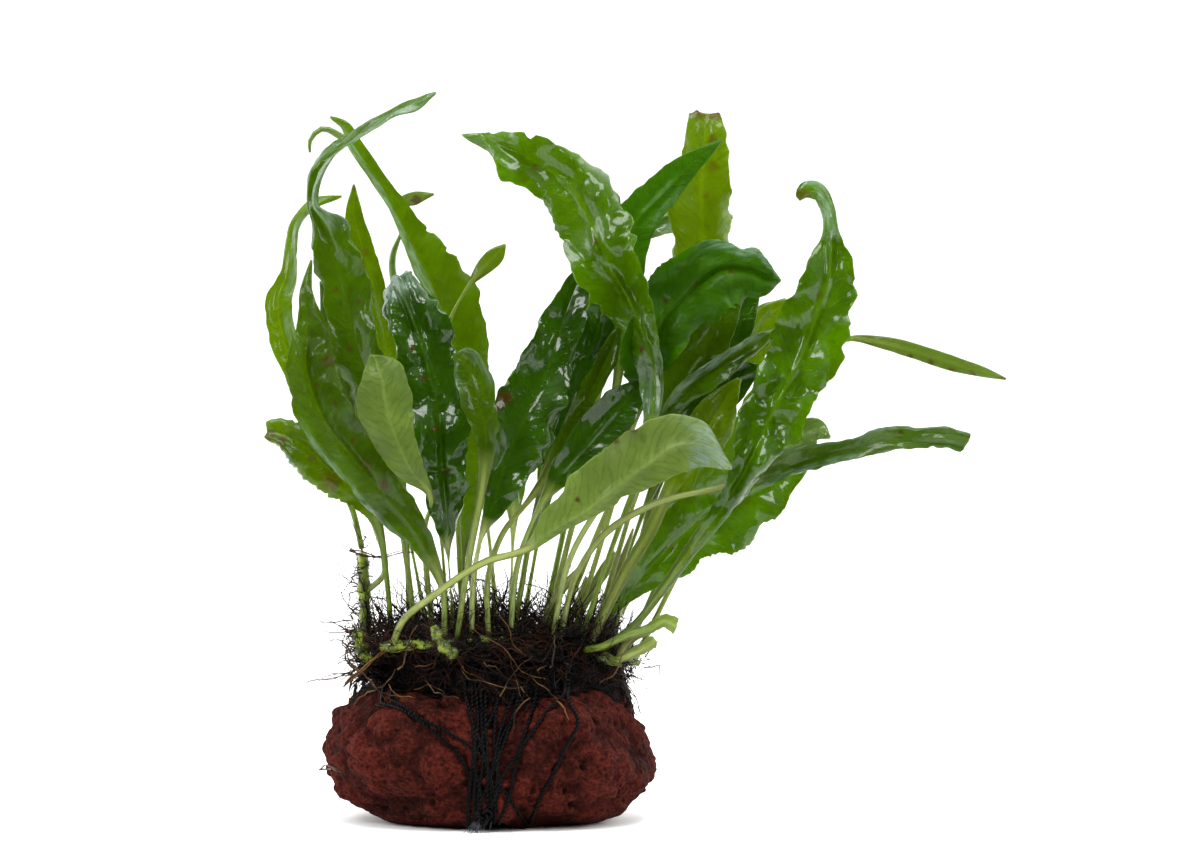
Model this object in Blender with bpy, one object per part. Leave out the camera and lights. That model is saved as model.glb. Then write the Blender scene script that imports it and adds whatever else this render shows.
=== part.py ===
"""A java fern clump tied to a lump of lava stone with black cotton thread.

Metres, +Z up, with the front of the plant facing -Y and the origin on the left one of the two flats
that the stone rests on. Places are written in millimetres from the floor under the middle of the
stone. Routes are written as (across, up, depth): across is X, depth is Y, and up is the height as
seen from the front by an eye raised by SIGHT_ELEVATION, so that a leaf further back is written a
little higher than it stands.
"""

import math
from dataclasses import dataclass

import bmesh
import bpy
import numpy as np
from mathutils import Vector, noise
from mathutils.bvhtree import BVHTree

MM = 0.001
GAP = 0.35
SIGHT_ELEVATION = math.radians(6)
REST_ACROSS = -16.0

# Stone
STONE_HEART = 24.0
STONE_HALF_DEPTH = 40.0
STONE_FULLNESS = 0.62
STONE_AROUND = 36
STONE_ACROSS = 17
STONE_ROUGH = 2.2
STONE_ROUGH_SIZE = 15.0
STONE_CALM_BELOW = 9.0
# The stone's front outline, clockwise from its left shoulder. What falls below the floor is cut flat.
STONE_OUTLINE = (
    (-56, 22), (-54, 32), (-49, 39), (-43, 43), (-35, 46), (-20, 48), (0, 49), (21, 48), (40, 46),
    (48, 40), (50, 33), (54, 25), (56, 18), (54, 13), (48, 6), (42, 1), (34, -1.5), (26, -1.5),
    (19, -3), (9, -5), (0, -5), (-9, -5), (-18, -3), (-26, -2), (-34, -0.5), (-43, 4), (-51, 10),
    (-55, 16),
)  # fmt: skip
# The hollow under the foot that the thread lies in
HOLLOW_HEIGHT = 2.7
HOLLOW_HALF_WIDTH = 5.0
HOLLOW_SLOPE = 3.0
# Lumps and pits on the front and back: (across, height, side, reach, rise)
STONE_LUMPS = (
    (22, 35, -1, 9, 3.5), (-32, 30, -1, 12, 3.0), (38, 22, -1, 10, 2.5), (-8, 14, -1, 9, 2.0),
    (6, 30, -1, 8, -2.0), (-32, 10, -1, 6, -3.0), (-20, 38, -1, 9, 2.0), (47, 12, -1, 5, -2.5),
    (-25, 32, 1, 12, 3.5), (24, 26, 1, 13, 3.0), (0, 16, 1, 9, -3.0), (40, 34, 1, 8, 2.0),
)  # fmt: skip

# Root mat over the top of the stone
MAT_CENTRE = (3.0, 0.0, 45.0)
MAT_HALF = (45.0, 33.0, 12.0)
MAT_FULLNESS = 0.7
MAT_AROUND = 22
MAT_UP = 9
# Loose roots that stand up between the rhizomes: depth, then (across, height) of each tuft
TUFT_FOOT = 47.0
TUFT_ROWS = (
    (-15, ((-24.5, 69), (-20, 66), (-15.5, 71), (-11.8, 66), (-1.5, 70), (9.8, 67))),
    (2.5, ((-37.5, 68), (-24, 77), (-18, 74), (-13.2, 79), (-6.2, 76), (6, 77), (17, 72), (23, 76))),
    (22, ((-15, 72), (-11.8, 68), (-3, 76), (7.6, 70), (16.2, 74), (32, 67))),
)  # fmt: skip
TUFT_HALF = (2.3, 3.0)
TUFT_LEAN = 1.0
ROOT_THICK = 2.2
ROOT_STRANDS = (
    ((-32, 45, -14), (-42, 48, -20), (-46, 46, -21), (-46.5, 41, -22)),
    ((-34, 46, -2), (-48, 49, -4), (-63, 46, -2)),
    ((-32, 48, 6), (-46, 55, 12), (-51, 60, 14)),
    ((36, 46, -6), (45, 47, -12), (49, 42, -14), (52, 35, -16)),
    ((36, 46, 8), (50, 48, 14), (54, 44, 18)),
    ((29, 48, 14), (36, 49, 30), (41, 44, 41), (42, 36, 46)),
    ((8, 49, 18), (7, 50, 34), (8, 43, 47), (8, 32, 51)),
)

# Cotton thread. Each turn starts and ends in the bundle under the foot of the stone. Its row says how
# far across it lies at these angles round the stone, from the foot up the back and down the front.
THREAD_THICK = 1.2
THREAD_RINGS = 19
THREAD_LIFT = 1.05
THREAD_SAMPLES = 141
THREAD_SOFTEN = 9
THREAD_ANGLES = (-148, -126, -90, 0, 50, 68, 90, 110, 125, 138)
THREAD_TURNS = (
    (-2.8, -5, -22, -33, -33, -21.5, -7.5, -7.3, -4.4, -3),
    (-2, -3.2, -13, -28, -30, -18, -2, -3.5, -3, -2),
    (-1, -1.6, -5, -10, -5, -4.5, -4.2, -2.5, -1.4, -1),
    (0, 0, 3, 2, 9.5, 4.5, 1, -0.3, 0, 0),
    (1, 1.6, 11, 14, 14, 6, 3, 2.5, 1.4, 1),
    (2, 3.2, 19, 20, 23, 15.5, 9, 6, 3, 2),
    (2.8, 5, 27, 26, 27, 30, 21.5, 13, 5.2, 3),
)
BUNDLE_ANGLES = (130, 226)
BUNDLE_RINGS = 7
BUNDLE_HALF_WIDTH = 4.0
BUNDLE_THICK = 1.6

# Rhizomes: creeping stems that the leaves grow from
RHIZOME_THICK = 4.0
RHIZOME_SEAT = 1.2
RHIZOME_END_SEAT = 0.6
RHIZOMES = {
    "rhizome_front": ((-37, 59, -19), (-26, 59.5, -20), (-14, 60, -24), (-4, 60.5, -23), (9, 61, -18)),
    "rhizome_middle": ((-36, 61, -7), (-22, 62.5, -7), (-8, 63, -7), (8, 63.5, -8), (23, 62, -6)),
    "rhizome_back": (
        (-31, 62, 9), (-18, 64, 12), (-4, 64.5, 14), (10, 64.5, 15), (24, 63, 14), (41, 57.5, 15)
    ),
    "rhizome_right_front": ((19, 59, -18), (28, 58, -15), (37, 56, -13), (45, 53, -12)),
    "rhizome_right_back": ((28, 61, 1), (36, 59.5, 2), (44, 56, 4), (51, 53, 7)),
    "rhizome_upright": ((-41, 57, -2), (-42, 66, -3), (-42.5, 78, -4), (-43, 91, -4)),
    "rhizome_left_tip": ((-40, 52, -13), (-43, 57, -15), (-45, 65, -16)),
    "rhizome_front_shoot": ((-11, 56, -33), (-15, 59, -34), (-19, 66, -34)),
}


# Fronds: steps in each span of the table, and what counts as a straight stretch of stalk
FROND_STEPS = 2
STALK_HALF_WIDTH = 1.65
STALK_BEND = math.radians(5)


@dataclass(frozen=True)
class Frond:
    """A leaf with its stalk, from the rhizome to the tip.

    Each row is (across, up, depth, left, right, turn): a point of the midrib, how far the blade
    reaches on each side of it, and the angle by which the blade's right edge comes forward.
    """

    finish: str
    grows_on: str
    rows: tuple
    fold: tuple = (14, 14)
    ruffle: float = 0.07


FRONDS = {
    "leaf_left_tall": Frond("leaf_mid", "rhizome_middle", (
        (-25, 65, -6, 1, 1, 0), (-28, 88, -9, 1, 1, 0), (-33, 116, -14, 1.2, 1.2, 0),
        (-39, 142, -17, 7, 6, 0),
        (-43, 157, -18, 9, 8, 0), (-47, 173, -18, 9, 8.5, 4), (-51, 188, -18, 8, 8.5, 12),
        (-56.5, 202, -16, 4.5, 8, 18),
        (-58, 210, -15, 3.5, 3.5, 62), (-56, 219, -14, 3.6, 3.8, 55), (-52, 227, -13, 4, 4.2, 45),
        (-45.5, 232, -11, 3.4, 3.6, 42), (-39, 236, -9, 2.8, 3.4, 45),
        (-34, 239.3, -7, 1.8, 2.2, 50), (-26, 243, -5, 2.4, 3, 40), (-18, 247, -3, 0.4, 0.4, 40))),
    "leaf_far_left_curled": Frond("leaf_light", "rhizome_upright", (
        (-43, 91, -4, 1, 1, 0), (-46, 104, -5, 1, 1, 0), (-53, 120, -6, 1.5, 1.5, 0),
        (-63, 146, -7, 4.6, 5, 0),
        (-69.5, 165, -7, 4.6, 4.5, 0), (-71.5, 177, -7, 4.2, 5, 8), (-68.5, 186, -7, 3.3, 4, 30),
        (-66.5, 195, -6, 2.8, 3, 45),
        (-65, 203, -4, 2.4, 2.6, 45), (-60, 209, -1, 2.4, 2.4, 45),
        (-50, 212, 3, 0.4, 0.4, 40)), ruffle=0.16),
    "leaf_front_left_wide": Frond("leaf_deep", "rhizome_front", (
        (-15, 64, -24, 1, 1, 0), (-16, 80, -29, 1.3, 1.3, 0), (-23, 94, -34, 4, 4, 0),
        (-33, 107, -37, 8, 7, 0),
        (-45, 122, -38, 8.6, 9.5, 0), (-55.5, 137, -38, 8.6, 10, 0), (-61, 152, -37, 7.6, 10, 0),
        (-62, 167, -35, 4.4, 7, 0),
        (-62, 180, -33, 2, 2.6, 20), (-60, 190, -30, 0.4, 0.4, 20)), fold=(24, 8)),
    "leaf_left_torn": Frond("leaf_light", "rhizome_middle", (
        (-33, 64, -8, 1, 1, 0), (-35, 84, -16, 1, 1, 0), (-38, 101, -21, 2, 2, 0),
        (-46, 113, -24, 5, 5, 0),
        (-56, 121, -26, 6.4, 6.5, 0), (-64.5, 128, -26, 6.6, 5.6, 0), (-71, 131.5, -25, 3.6, 4, 0),
        (-74, 131.5, -24, 1.4, 2, 0)), ruffle=0.12),
    "leaf_left_pale_back": Frond("leaf_underside", "rhizome_middle", (
        (-19, 65, -7, 1, 1, 0), (-21, 82, -12, 1, 1, 0), (-22, 97, -18, 1, 1, 0),
        (-20, 111, -36, 1.2, 1.2, 0),
        (-26, 120, -45, 4.5, 4, 0), (-31, 131, -47, 7.5, 6, 0), (-34, 140, -47, 8.5, 8, 0),
        (-36, 149, -46, 7.5, 7.5, 0),
        (-38, 156, -44, 4.5, 4.5, 0)), fold=(-8, -8)),
    "leaf_left_dark_strip": Frond("leaf_deep", "rhizome_upright", (
        (-41, 77, -4, 1, 1, 0), (-36, 83, -8, 1, 1, 0), (-40, 104, -10, 1, 1, 0),
        (-45, 128, -11, 1.5, 1.5, 0), (-50, 150, -11, 2.8, 2.8, 0),
        (-54, 168, -10, 2.8, 2.8, 0), (-57, 183, -9, 0.6, 0.6, 0))),
    "leaf_left_upright": Frond("leaf_light", "rhizome_back", (
        (-27, 66, 10, 1, 1, 0), (-29, 108, 13, 1.1, 1.1, 0), (-34, 150, 14, 3, 3, 0),
        (-38, 175, 14, 4.2, 4, 0),
        (-43, 195, 13, 4, 4, 0), (-46, 208, 12, 2.6, 2.6, 0), (-46, 216, 11, 0.4, 0.4, 0))),
    "leaf_left_glossy": Frond("leaf_deep", "rhizome_middle", (
        (-12, 66, -9, 1, 1, 0), (-14, 92, -19, 1, 1, 0), (-15, 105, -23, 6, 5, 0),
        (-16, 121, -26, 8, 9, 0),
        (-17, 137, -27, 9, 10.5, 0), (-20, 152, -27, 10, 10, 0), (-25, 167, -26, 9, 11, 0),
        (-29.5, 178, -24, 8.5, 8.5, 0), (-32.5, 184.5, -21, 7, 6.5, 0)), ruffle=0.12),
    "leaf_centre_left_bright": Frond("leaf_light", "rhizome_front", (
        (-11, 65, -26, 1, 1, 0), (-8, 81, -33, 1, 1, 0), (-5, 98, -38, 1.2, 1.2, 0),
        (-2, 114, -40, 1.6, 1.6, 0),
        (-1, 127, -41, 3, 3.5, 0), (-3, 140, -41, 6, 6, 0), (-5, 150, -40, 6, 7.5, 0),
        (-9, 156, -38, 4, 5, 0),
        (-12, 158, -36, 0.6, 0.6, 0))),
    "leaf_tall_folded": Frond("leaf_mid", "rhizome_back", (
        (-9, 68, 10, 1, 1, 0), (-9, 92, 7, 1.4, 1.4, 0), (-9, 112, 5, 5, 7, 0),
        (-11, 142, 3, 7, 9.8, 0), (-14, 171, 2, 5, 13.4, 0),
        (-22, 188, 0, 6, 11.6, 0), (-30, 203.5, 0, 3, 5.8, 0), (-38.5, 219, 2, 2.6, 2.8, 0),
        (-45, 229, 4, 2.6, 2.8, 20),
        (-49, 236, 6, 2, 2, 40), (-54, 239, 8, 0.4, 0.4, 40)), fold=(52, 12)),
    "leaf_young_sprout": Frond("leaf_light", "rhizome_middle", (
        (-9, 67, -5, 0.9, 0.9, 0), (-11, 110, -7, 0.9, 0.9, 0), (-13, 148, -9, 0.8, 0.8, 0),
        (-14, 167, -10, 0.8, 0.8, 0),
        (-6.5, 182, -10, 0.9, 0.9, 0), (-1, 188.5, -10, 2.8, 2.8, 0), (3, 192.5, -10, 2.6, 2.8, 0),
        (5.5, 195.5, -10, 0.4, 0.4, 0))),
    "leaf_back_left_curled_tip": Frond("leaf_grey", "rhizome_back", (
        (-14, 68, 14, 1, 1, 0), (-17, 100, 26, 1, 1, 0), (-22, 130, 33, 6, 6, 0),
        (-27, 158, 36, 5, 5, 0),
        (-31, 176, 36, 1.6, 1.6, 0), (-33, 192, 35, 1.2, 1.2, 40), (-30, 200, 34, 0.5, 0.5, 40))),
    "leaf_back_left_thin_tip": Frond("leaf_grey", "rhizome_back", (
        (-4, 68, 16, 1, 1, 0), (-9, 106, 20, 1, 1, 0), (-12, 146, 22, 3, 3, 0),
        (-19, 186, 21, 2.4, 2.4, 0),
        (-33, 211, 19, 1.6, 1.6, 0), (-44, 227, 17, 1.4, 1.4, 0), (-50, 232, 17, 1.3, 1.3, 0),
        (-57, 235, 17, 1, 1, 40),
        (-61, 231, 17, 0.8, 0.8, 40), (-61, 227, 17, 0.4, 0.4, 40))),
    "leaf_back_olive_tip": Frond("leaf_underside", "rhizome_back", (
        (3, 69, 17, 1, 1, 0), (-2, 108, 34, 1, 1, 0), (-12, 150, 46, 6, 6, 0),
        (-20, 186, 48, 5.5, 5.5, 0),
        (-28, 204, 46, 3, 3, 0), (-30, 210, 43, 2, 2, 0), (-26, 212, 41, 2, 2.8, 0),
        (-19, 213, 38, 0.4, 0.4, 0))),
    "leaf_centre_deep_green": Frond("leaf_deep", "rhizome_front", (
        (-6, 65, -24, 1, 1, 0), (-5, 83, -27, 1, 1, 0), (-2, 98, -30, 1.2, 1.2, 0),
        (1, 107, -31, 3, 5, 0),
        (7, 123, -31, 10, 11, 0), (14.5, 141, -30, 11.8, 12, 0), (22, 160, -28, 9.6, 8, 0),
        (29, 180, -25, 4.6, 6, 0),
        (34, 191, -22, 0.6, 0.6, 0)), fold=(16, 20)),
    "leaf_centre_tall_bright": Frond("leaf_bright", "rhizome_right_front", (
        (21, 62, -18, 1, 1, 0), (28, 90, -26, 1, 1, 0), (43, 115, -34, 1.2, 1.2, 0),
        (54, 133, -37, 2, 2, 0),
        (56, 149, -38, 6, 3, 0), (53, 162, -38, 7, 5, 0), (46, 179, -38, 10, 8, 0),
        (37.5, 195, -37, 11.5, 12.5, 0),
        (33, 205, -36, 11, 13, 0), (25, 216.5, -34, 10.5, 11, 0), (13.5, 224.5, -31, 9, 9, 0),
        (3.5, 229, -28, 5.5, 4.5, 0),
        (-9, 232.5, -24, 0.4, 0.4, 0)), fold=(10, 16), ruffle=0.09),
    "leaf_front_underside": Frond("leaf_underside", "rhizome_front", (
        (-33, 62, -20, 1.2, 1.2, 0), (-29, 68, -30, 1.2, 1.2, 0), (-18, 77, -40, 1.2, 1.2, 0),
        (-1, 88, -48, 1.3, 1.3, 0),
        (14, 93, -52, 2, 1.6, 0), (22, 99, -54, 7.5, 2.2, 0), (32, 104, -56, 11.5, 3, 0),
        (43, 112, -58, 14, 5, 0),
        (54, 121, -59, 13.5, 8, 0), (64, 127, -58, 11, 10, 0), (72, 127, -56, 7, 8.5, 0),
        (80, 121, -52, 1, 1, 0)), fold=(-10, -18)),
    "leaf_centre_pointed": Frond("leaf_mid", "rhizome_middle", (
        (20, 66, -8, 1, 1, 0), (30, 106, -5, 1, 1, 0), (43, 146, -9, 1.4, 1.4, 0),
        (46, 178, -17, 4, 4, 0),
        (50, 203, -20, 8, 7, 0), (59, 213, -19, 7, 5.5, 0), (67, 221, -17, 5, 4, 0),
        (74, 227, -16, 2.2, 2.2, 0),
        (79, 231, -15, 0.4, 0.4, 0))),
    "leaf_centre_torn_top": Frond("leaf_light", "rhizome_back", (
        (24, 68, 12, 1, 1, 0), (38, 100, 12, 1, 1, 0), (54, 135, 9, 1.5, 1.5, 0),
        (67, 168, 3, 7.5, 7.5, 0),
        (71.5, 193, 1, 10.5, 9.6, 0), (72.4, 211, 0, 10.2, 9.8, 0), (72.4, 223, 0, 9, 9, 0),
        (73, 231, 0, 7.2, 7.6, 0),
        (73.6, 238, 1, 6, 6, 0), (74, 241, 2, 5.2, 4.8, 0)), ruffle=0.1),
    "leaf_back_ribbed": Frond("leaf_grey", "rhizome_back", (
        (18, 68, 15, 1, 1, 0), (28, 110, 22, 1, 1, 0), (38, 150, 22, 1.4, 1.4, 0), (42, 183, 19, 3, 3, 0),
        (48, 198, 17, 5, 5, 0), (56, 204, 16, 6, 6, 0), (66, 206, 16, 6, 6, 0), (76, 206, 16, 4, 4, 0),
        
        (83, 205, 16, 0.6, 0.6, 0))),
    "leaf_right_dark_pointed": Frond("leaf_deep", "rhizome_right_back", (
        (28.5, 64, 0, 1, 1, 0), (42, 108, -12, 1, 1, 0), (51, 142, -23, 1.5, 1.5, 0),
        (58, 166, -27, 11, 6, 0),
        (68, 179, -27, 13, 7, 0), (78, 187.5, -26, 10.5, 10, 0), (88, 187, -25, 7, 9, 0),
        (94, 184.5, -24, 4, 5.5, 0),
        (99, 183, -23, 0.5, 0.5, 0))),
    "leaf_right_inner": Frond("leaf_mid", "rhizome_right_back", (
        (36, 63, 1, 1, 1, 0), (42, 84, 1, 1, 1, 0), (49, 108, -7, 1, 1, 0), (58, 136, -13, 4, 4, 0),
        (68, 154, -16, 8, 8, 0),
        (77, 167, -16, 7, 7, 0), (86, 179, -15, 0.6, 0.6, 0))),
    "leaf_right_dark_back": Frond("leaf_deep", "rhizome_right_back", (
        (39, 63, 3, 1, 1, 0), (53, 106, 0, 1, 1, 0), (69, 141, -5, 5, 5, 0), (80, 159, -7, 6, 6, 0),
        (86, 172, -7, 5.5, 5, 0), (92, 182, -6, 0.8, 0.8, 0))),
    "leaf_right_yellow": Frond("leaf_light", "rhizome_right_back", (
        (47, 59, 6, 1, 1, 0), (57, 80, 10, 1, 1, 0), (75, 138, 10, 5, 5, 0), (88, 160, 7, 7, 7, 0),
        (95, 170, 5, 6, 5, 0), (101, 177, 4, 0.8, 0.8, 0))),
    "leaf_right_folded": Frond("leaf_mid", "rhizome_right_front", (
        (31, 61, -15, 1, 1, 0), (46, 104, -20, 1, 1, 0), (58, 132, -21, 2, 2, 0),
        (65, 144, -20, 4.5, 5, 0),
        (78, 154, -20, 5.5, 5, 0), (87, 160, -19, 4.5, 4, 0),
        (97, 166, -17, 0.8, 0.8, 0)), fold=(40, 30)),
    "leaf_right_shaded": Frond("leaf_deep", "rhizome_right_back", (
        (42, 62, 4, 1, 1, 0), (53, 100, 4, 1, 1, 0), (62, 127, 1, 4, 4, 0), (72, 141, 0, 8, 8, 0),
        (82, 149, 0, 8, 7, 0), (93, 154, 0, 1, 1, 0))),
    "leaf_right_tall_glossy": Frond("leaf_bright", "rhizome_right_front", (
        (37, 60, -14, 1.2, 1.2, 0), (49, 66, -20, 1.3, 1.3, 0), (60, 80, -26, 1.4, 1.4, 0),
        (74, 100, -30, 1.8, 1.8, 0),
        (84, 114, -32, 3.5, 4.2, 0), (91, 129, -33, 9.5, 8.5, 0), (98.5, 143, -33, 12, 11.6, 0),
        (107, 160, -33, 13, 13, 0),
        (112.5, 175, -33, 11, 11.8, 0), (115, 189, -33, 8, 8, 0), (115.5, 200, -32, 2.6, 3, 0),
        (114.5, 208, -29, 2, 2, 0),
        (110, 213.5, -27, 3, 3, 0), (104.5, 210.5, -25, 1, 1, 0)), fold=(18, 10), ruffle=0.08),
    "leaf_far_right_thin": Frond("leaf_mid", "rhizome_right_back", (
        (50, 57, 7, 0.9, 0.9, 0), (70, 94, 12, 0.9, 0.9, 0), (96, 132, 12, 0.9, 0.9, 0),
        (112, 156, -2, 0.9, 0.9, 0),
        (123, 163.6, -14, 1, 1, 0), (134, 162, -18, 2.2, 2.2, 0), (146, 158.5, -19, 2.8, 2.6, 0),
        (159, 154.5, -20, 2.5, 2.5, 0),
        (169, 151.8, -20, 1.6, 1.6, 0), (175.5, 149.8, -20, 0.4, 0.4, 0)), ruffle=0),
    "leaf_far_right_folded": Frond("leaf_mid", "rhizome_right_front", (
        (24, 62, -17, 1, 1, 0), (30, 84, -20, 1, 1, 0), (38, 96, -22, 1.2, 1.2, 0),
        (55, 107, -25, 1.5, 1.5, 0),
        (78, 113, -24, 1.6, 1.6, 0), (91, 116, -23, 3, 3, 0), (102, 120, -22, 6.5, 4.2, 0),
        (122, 125, -21, 5.4, 4.8, 0),
        (140, 128.5, -20, 6.4, 5.6, 0), (152, 129, -19, 5, 4.2, 0),
        (162, 127.5, -18, 4, 4.8, 0)), fold=(20, 36)),
    "leaf_right_low_wide": Frond("leaf_bright", "rhizome_right_back", (
        (32, 61, -3, 1.2, 1.2, 0), (46, 76, -5, 4, 3, 0), (58, 90, -7, 9, 9.5, 0),
        (70, 101, -8, 10.5, 14.5, 0),
        (81, 108, -9, 10.5, 15, 0), (91, 113, -9, 8.5, 12, 0), (100, 117, -9, 6, 7, 0),
        (108, 119, -9, 0.8, 0.8, 0)), ruffle=0.12),
    "leaf_right_flat_stalk": Frond("leaf_light", "rhizome_right_front", (
        (34, 61, -12, 1.4, 1.4, 0), (46, 84, -14, 2, 2, 0), (55, 99, -15, 2.3, 2.3, 0),
        (61, 112, -15, 2.5, 2.5, 0),
        (67, 124, -14, 5, 6, 0), (74, 134, -13, 8, 9, 0), (80, 143, -12, 5, 5, 0),
        (85, 150, -11, 0.8, 0.8, 0))),
    "leaf_right_back_glossy": Frond("leaf_grey", "rhizome_back", (
        (38, 62, 15, 1, 1, 0), (54, 84, 18, 1, 1, 0), (78, 110, 18, 1.2, 1.2, 0), (95, 123, 16, 5, 5, 0),
        (106, 130, 12, 5.5, 5, 0), (111.5, 132.5, 8, 4, 4, 0), (116, 130, 6, 0.6, 0.6, 0))),
    "leaf_centre_olive": Frond("leaf_deep", "rhizome_middle", (
        (8, 67, -8, 1, 1, 0), (11, 79, -10, 1, 1, 0), (13, 91, -11, 1, 1, 0), (22, 125, -11, 3, 3, 0),
        (30, 150, -12, 7, 7.5, 0), (36, 166, -12, 7.5, 6.5, 0), (39, 176, -10, 4.5, 3.8, 0),
        (42, 185, -9, 0.6, 0.6, 0))),
    "leaf_centre_narrow": Frond("leaf_mid", "rhizome_front", (
        (-1, 65, -21, 1, 1, 0), (0, 84, -23, 1, 1, 0), (5, 98, -23, 1, 1, 0), (13, 108, -22, 1, 1, 0),
        (19, 116, -21, 2, 2, 0), (25, 127, -20, 3.5, 3.5, 0), (33, 144, -19, 4.2, 4.2, 0),
        (40, 158, -19, 4, 4, 0),
        (45, 169, -19, 0.6, 0.6, 0)), fold=(34, 34)),
    "leaf_centre_shaded": Frond("leaf_deep", "rhizome_front", (
        (7, 65, -18, 1, 1, 0), (10, 88, -22, 1, 1, 0), (18, 108, -26, 1.2, 1.2, 0),
        (29, 123, -27, 6, 6, 0),
        (38, 134, -27, 7.5, 7.5, 0), (47, 143, -27, 6.5, 6, 0), (54, 150, -26, 0.6, 0.6, 0))),
    "leaf_rear_centre": Frond("leaf_mid", "rhizome_back", (
        (11, 69, 16, 1, 1, 0), (17, 98, 26, 1, 1, 0), (23, 134, 37, 7, 7, 0), (31, 164, 44, 8.5, 8.5, 0),
        (39, 190, 48, 6.5, 6.5, 0), (45, 204, 50, 0.6, 0.6, 0))),
    "leaf_rear_middle": Frond("leaf_mid", "rhizome_back", (
        (7, 69, 17, 1, 1, 0), (8, 98, 34, 1, 1, 0), (9, 126, 48, 7, 7, 0), (13, 146, 57, 8, 8, 0),
        (19, 164, 62, 0.6, 0.6, 0))),
    "leaf_rear_left": Frond("leaf_mid", "rhizome_back", (
        (-22, 67, 13, 1, 1, 0), (-28, 98, 28, 1, 1, 0), (-37, 128, 42, 7, 7, 0),
        (-45, 152, 50, 7.5, 7.5, 0),
        (-52, 174, 54, 0.6, 0.6, 0))),
    "leaf_rear_right": Frond("leaf_mid", "rhizome_back", (
        (33, 64, 16, 1, 1, 0), (50, 88, 28, 1, 1, 0), (69, 110, 40, 7, 7, 0), (84, 128, 48, 8, 8, 0),
        (96, 143, 52, 0.6, 0.6, 0))),
}  # fmt: skip

# Cut or broken stalks, written as the leaves are, with a blunt end
STUBS = {
    "stub_cut_long": Frond("stalk", "rhizome_right_front", (
        (30, 57, -16, 1.2, 1.2, 0), (38, 59, -24, 1.2, 1.2, 0), (47, 63, -28, 1.5, 1.5, 0),
        (54, 65, -29, 1.8, 1.8, 0),
        (60, 68, -30, 2.4, 2.4, 0), (64, 66, -30, 2.8, 2.8, 0)), ruffle=0),
    "stub_cut_low": Frond("stalk", "rhizome_right_front", (
        (40, 54, -14, 1, 1, 0), (45, 55, -22, 1.2, 1.2, 0), (51, 58, -24, 1.4, 1.4, 0),
        (56, 61, -24, 1.4, 1.4, 0)), ruffle=0),
    "stub_spike": Frond("leaf_brown", "rhizome_right_back", (
        (45, 60, 5, 1, 1, 0), (42, 79, 12, 1.1, 1.1, 0), (46, 90, 9, 1.2, 1.2, 0),
        (49, 99, 9, 0.4, 0.4, 0)), ruffle=0),
    "stub_brown_tip": Frond("leaf_brown", "rhizome_middle", (
        (18, 66, -7, 1, 1, 0), (21, 73, -8, 1.2, 1.2, 0), (27, 81, -9, 1.4, 1.4, 0),
        (33, 88, -9, 0.4, 0.4, 0)), ruffle=0),
    "stub_pale": Frond("stalk", "rhizome_back", (
        (29, 65, 14, 1, 1, 0), (34, 76, 16, 1.4, 1.4, 0), (40, 86, 17, 2, 2, 0),
        (43, 91, 17, 1, 1, 0)), ruffle=0),
    "stub_short": Frond("stalk", "rhizome_back", (
        (26, 66, 14, 1, 1, 0), (31, 75, 19, 1.6, 1.6, 0), (35, 82, 20, 2.2, 2.2, 0)), ruffle=0),
    "stub_ragged": Frond("leaf_brown", "rhizome_right_front", (
        (43, 54, -12, 1, 1, 0), (46, 59, -15, 1.6, 1.6, 0), (50, 63, -16, 1.8, 1.8, 0),
        (54, 64, -16, 1.4, 1.4, 0)), ruffle=0),
}  # fmt: skip

# Colours as sRGB, with roughness
FINISHES = {
    "leaf_bright": ("#4a8a0c", 0.2),
    "leaf_light": ("#6a9a18", 0.25),
    "leaf_mid": ("#38700a", 0.22),
    "leaf_deep": ("#265506", 0.2),
    "leaf_grey": ("#6a8a60", 0.25),
    "leaf_underside": ("#668a42", 0.5),
    "leaf_brown": ("#5a5a22", 0.6),
    "stalk": ("#9ab860", 0.35),
    "rhizome": ("#8aa52a", 0.45),
    "root": ("#140e0a", 0.7),
    "thread": ("#0c0e10", 0.4),
    "stone": ("#64302a", 0.9),
}


def clear_scene():
    """Remove every object, so that only the plant is left."""
    for thing in list(bpy.data.objects):
        bpy.data.objects.remove(thing, do_unlink=True)


def linear(hex_colour):
    """An sRGB hex colour as linear RGBA."""
    parts = [int(hex_colour[i : i + 2], 16) / 255 for i in (1, 3, 5)]
    return tuple(p / 12.92 if p <= 0.04045 else ((p + 0.055) / 1.055) ** 2.4 for p in parts) + (1.0,)


def finish(name):
    """The material of this name, made once."""
    if name in bpy.data.materials:
        return bpy.data.materials[name]
    colour, roughness = FINISHES[name]
    material = bpy.data.materials.new(name)
    material.use_nodes = True
    shader = material.node_tree.nodes["Principled BSDF"]
    shader.inputs["Base Color"].default_value = linear(colour)
    shader.inputs["Roughness"].default_value = roughness
    shader.inputs["Metallic"].default_value = 0.0
    return material


def in_space(point):
    """A written (across, up, depth) point as (x, y, z) in millimetres."""
    across, up, depth = point[:3]
    return np.array((across, depth, up / math.cos(SIGHT_ELEVATION) - depth * math.tan(SIGHT_ELEVATION)))


def smooth(rows, per_span):
    """Rows joined by a Hermite curve over the distance between them, per_span steps in each span."""
    rows = np.asarray(rows, float)
    at = np.concatenate(([0.0], np.cumsum(np.linalg.norm(np.diff(rows[:, :3], axis=0), axis=1))))
    slope = np.gradient(rows, at, axis=0)
    out = []
    for i in range(len(rows) - 1):
        span = at[i + 1] - at[i]
        for step in range(per_span):
            s = step / per_span
            out.append(
                rows[i] * (1 + 2 * s) * (1 - s) ** 2
                + rows[i + 1] * s * s * (3 - 2 * s)
                + slope[i] * span * s * (1 - s) ** 2
                - slope[i + 1] * span * s * s * (1 - s)
            )
    out.append(rows[-1])
    return np.array(out)


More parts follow.
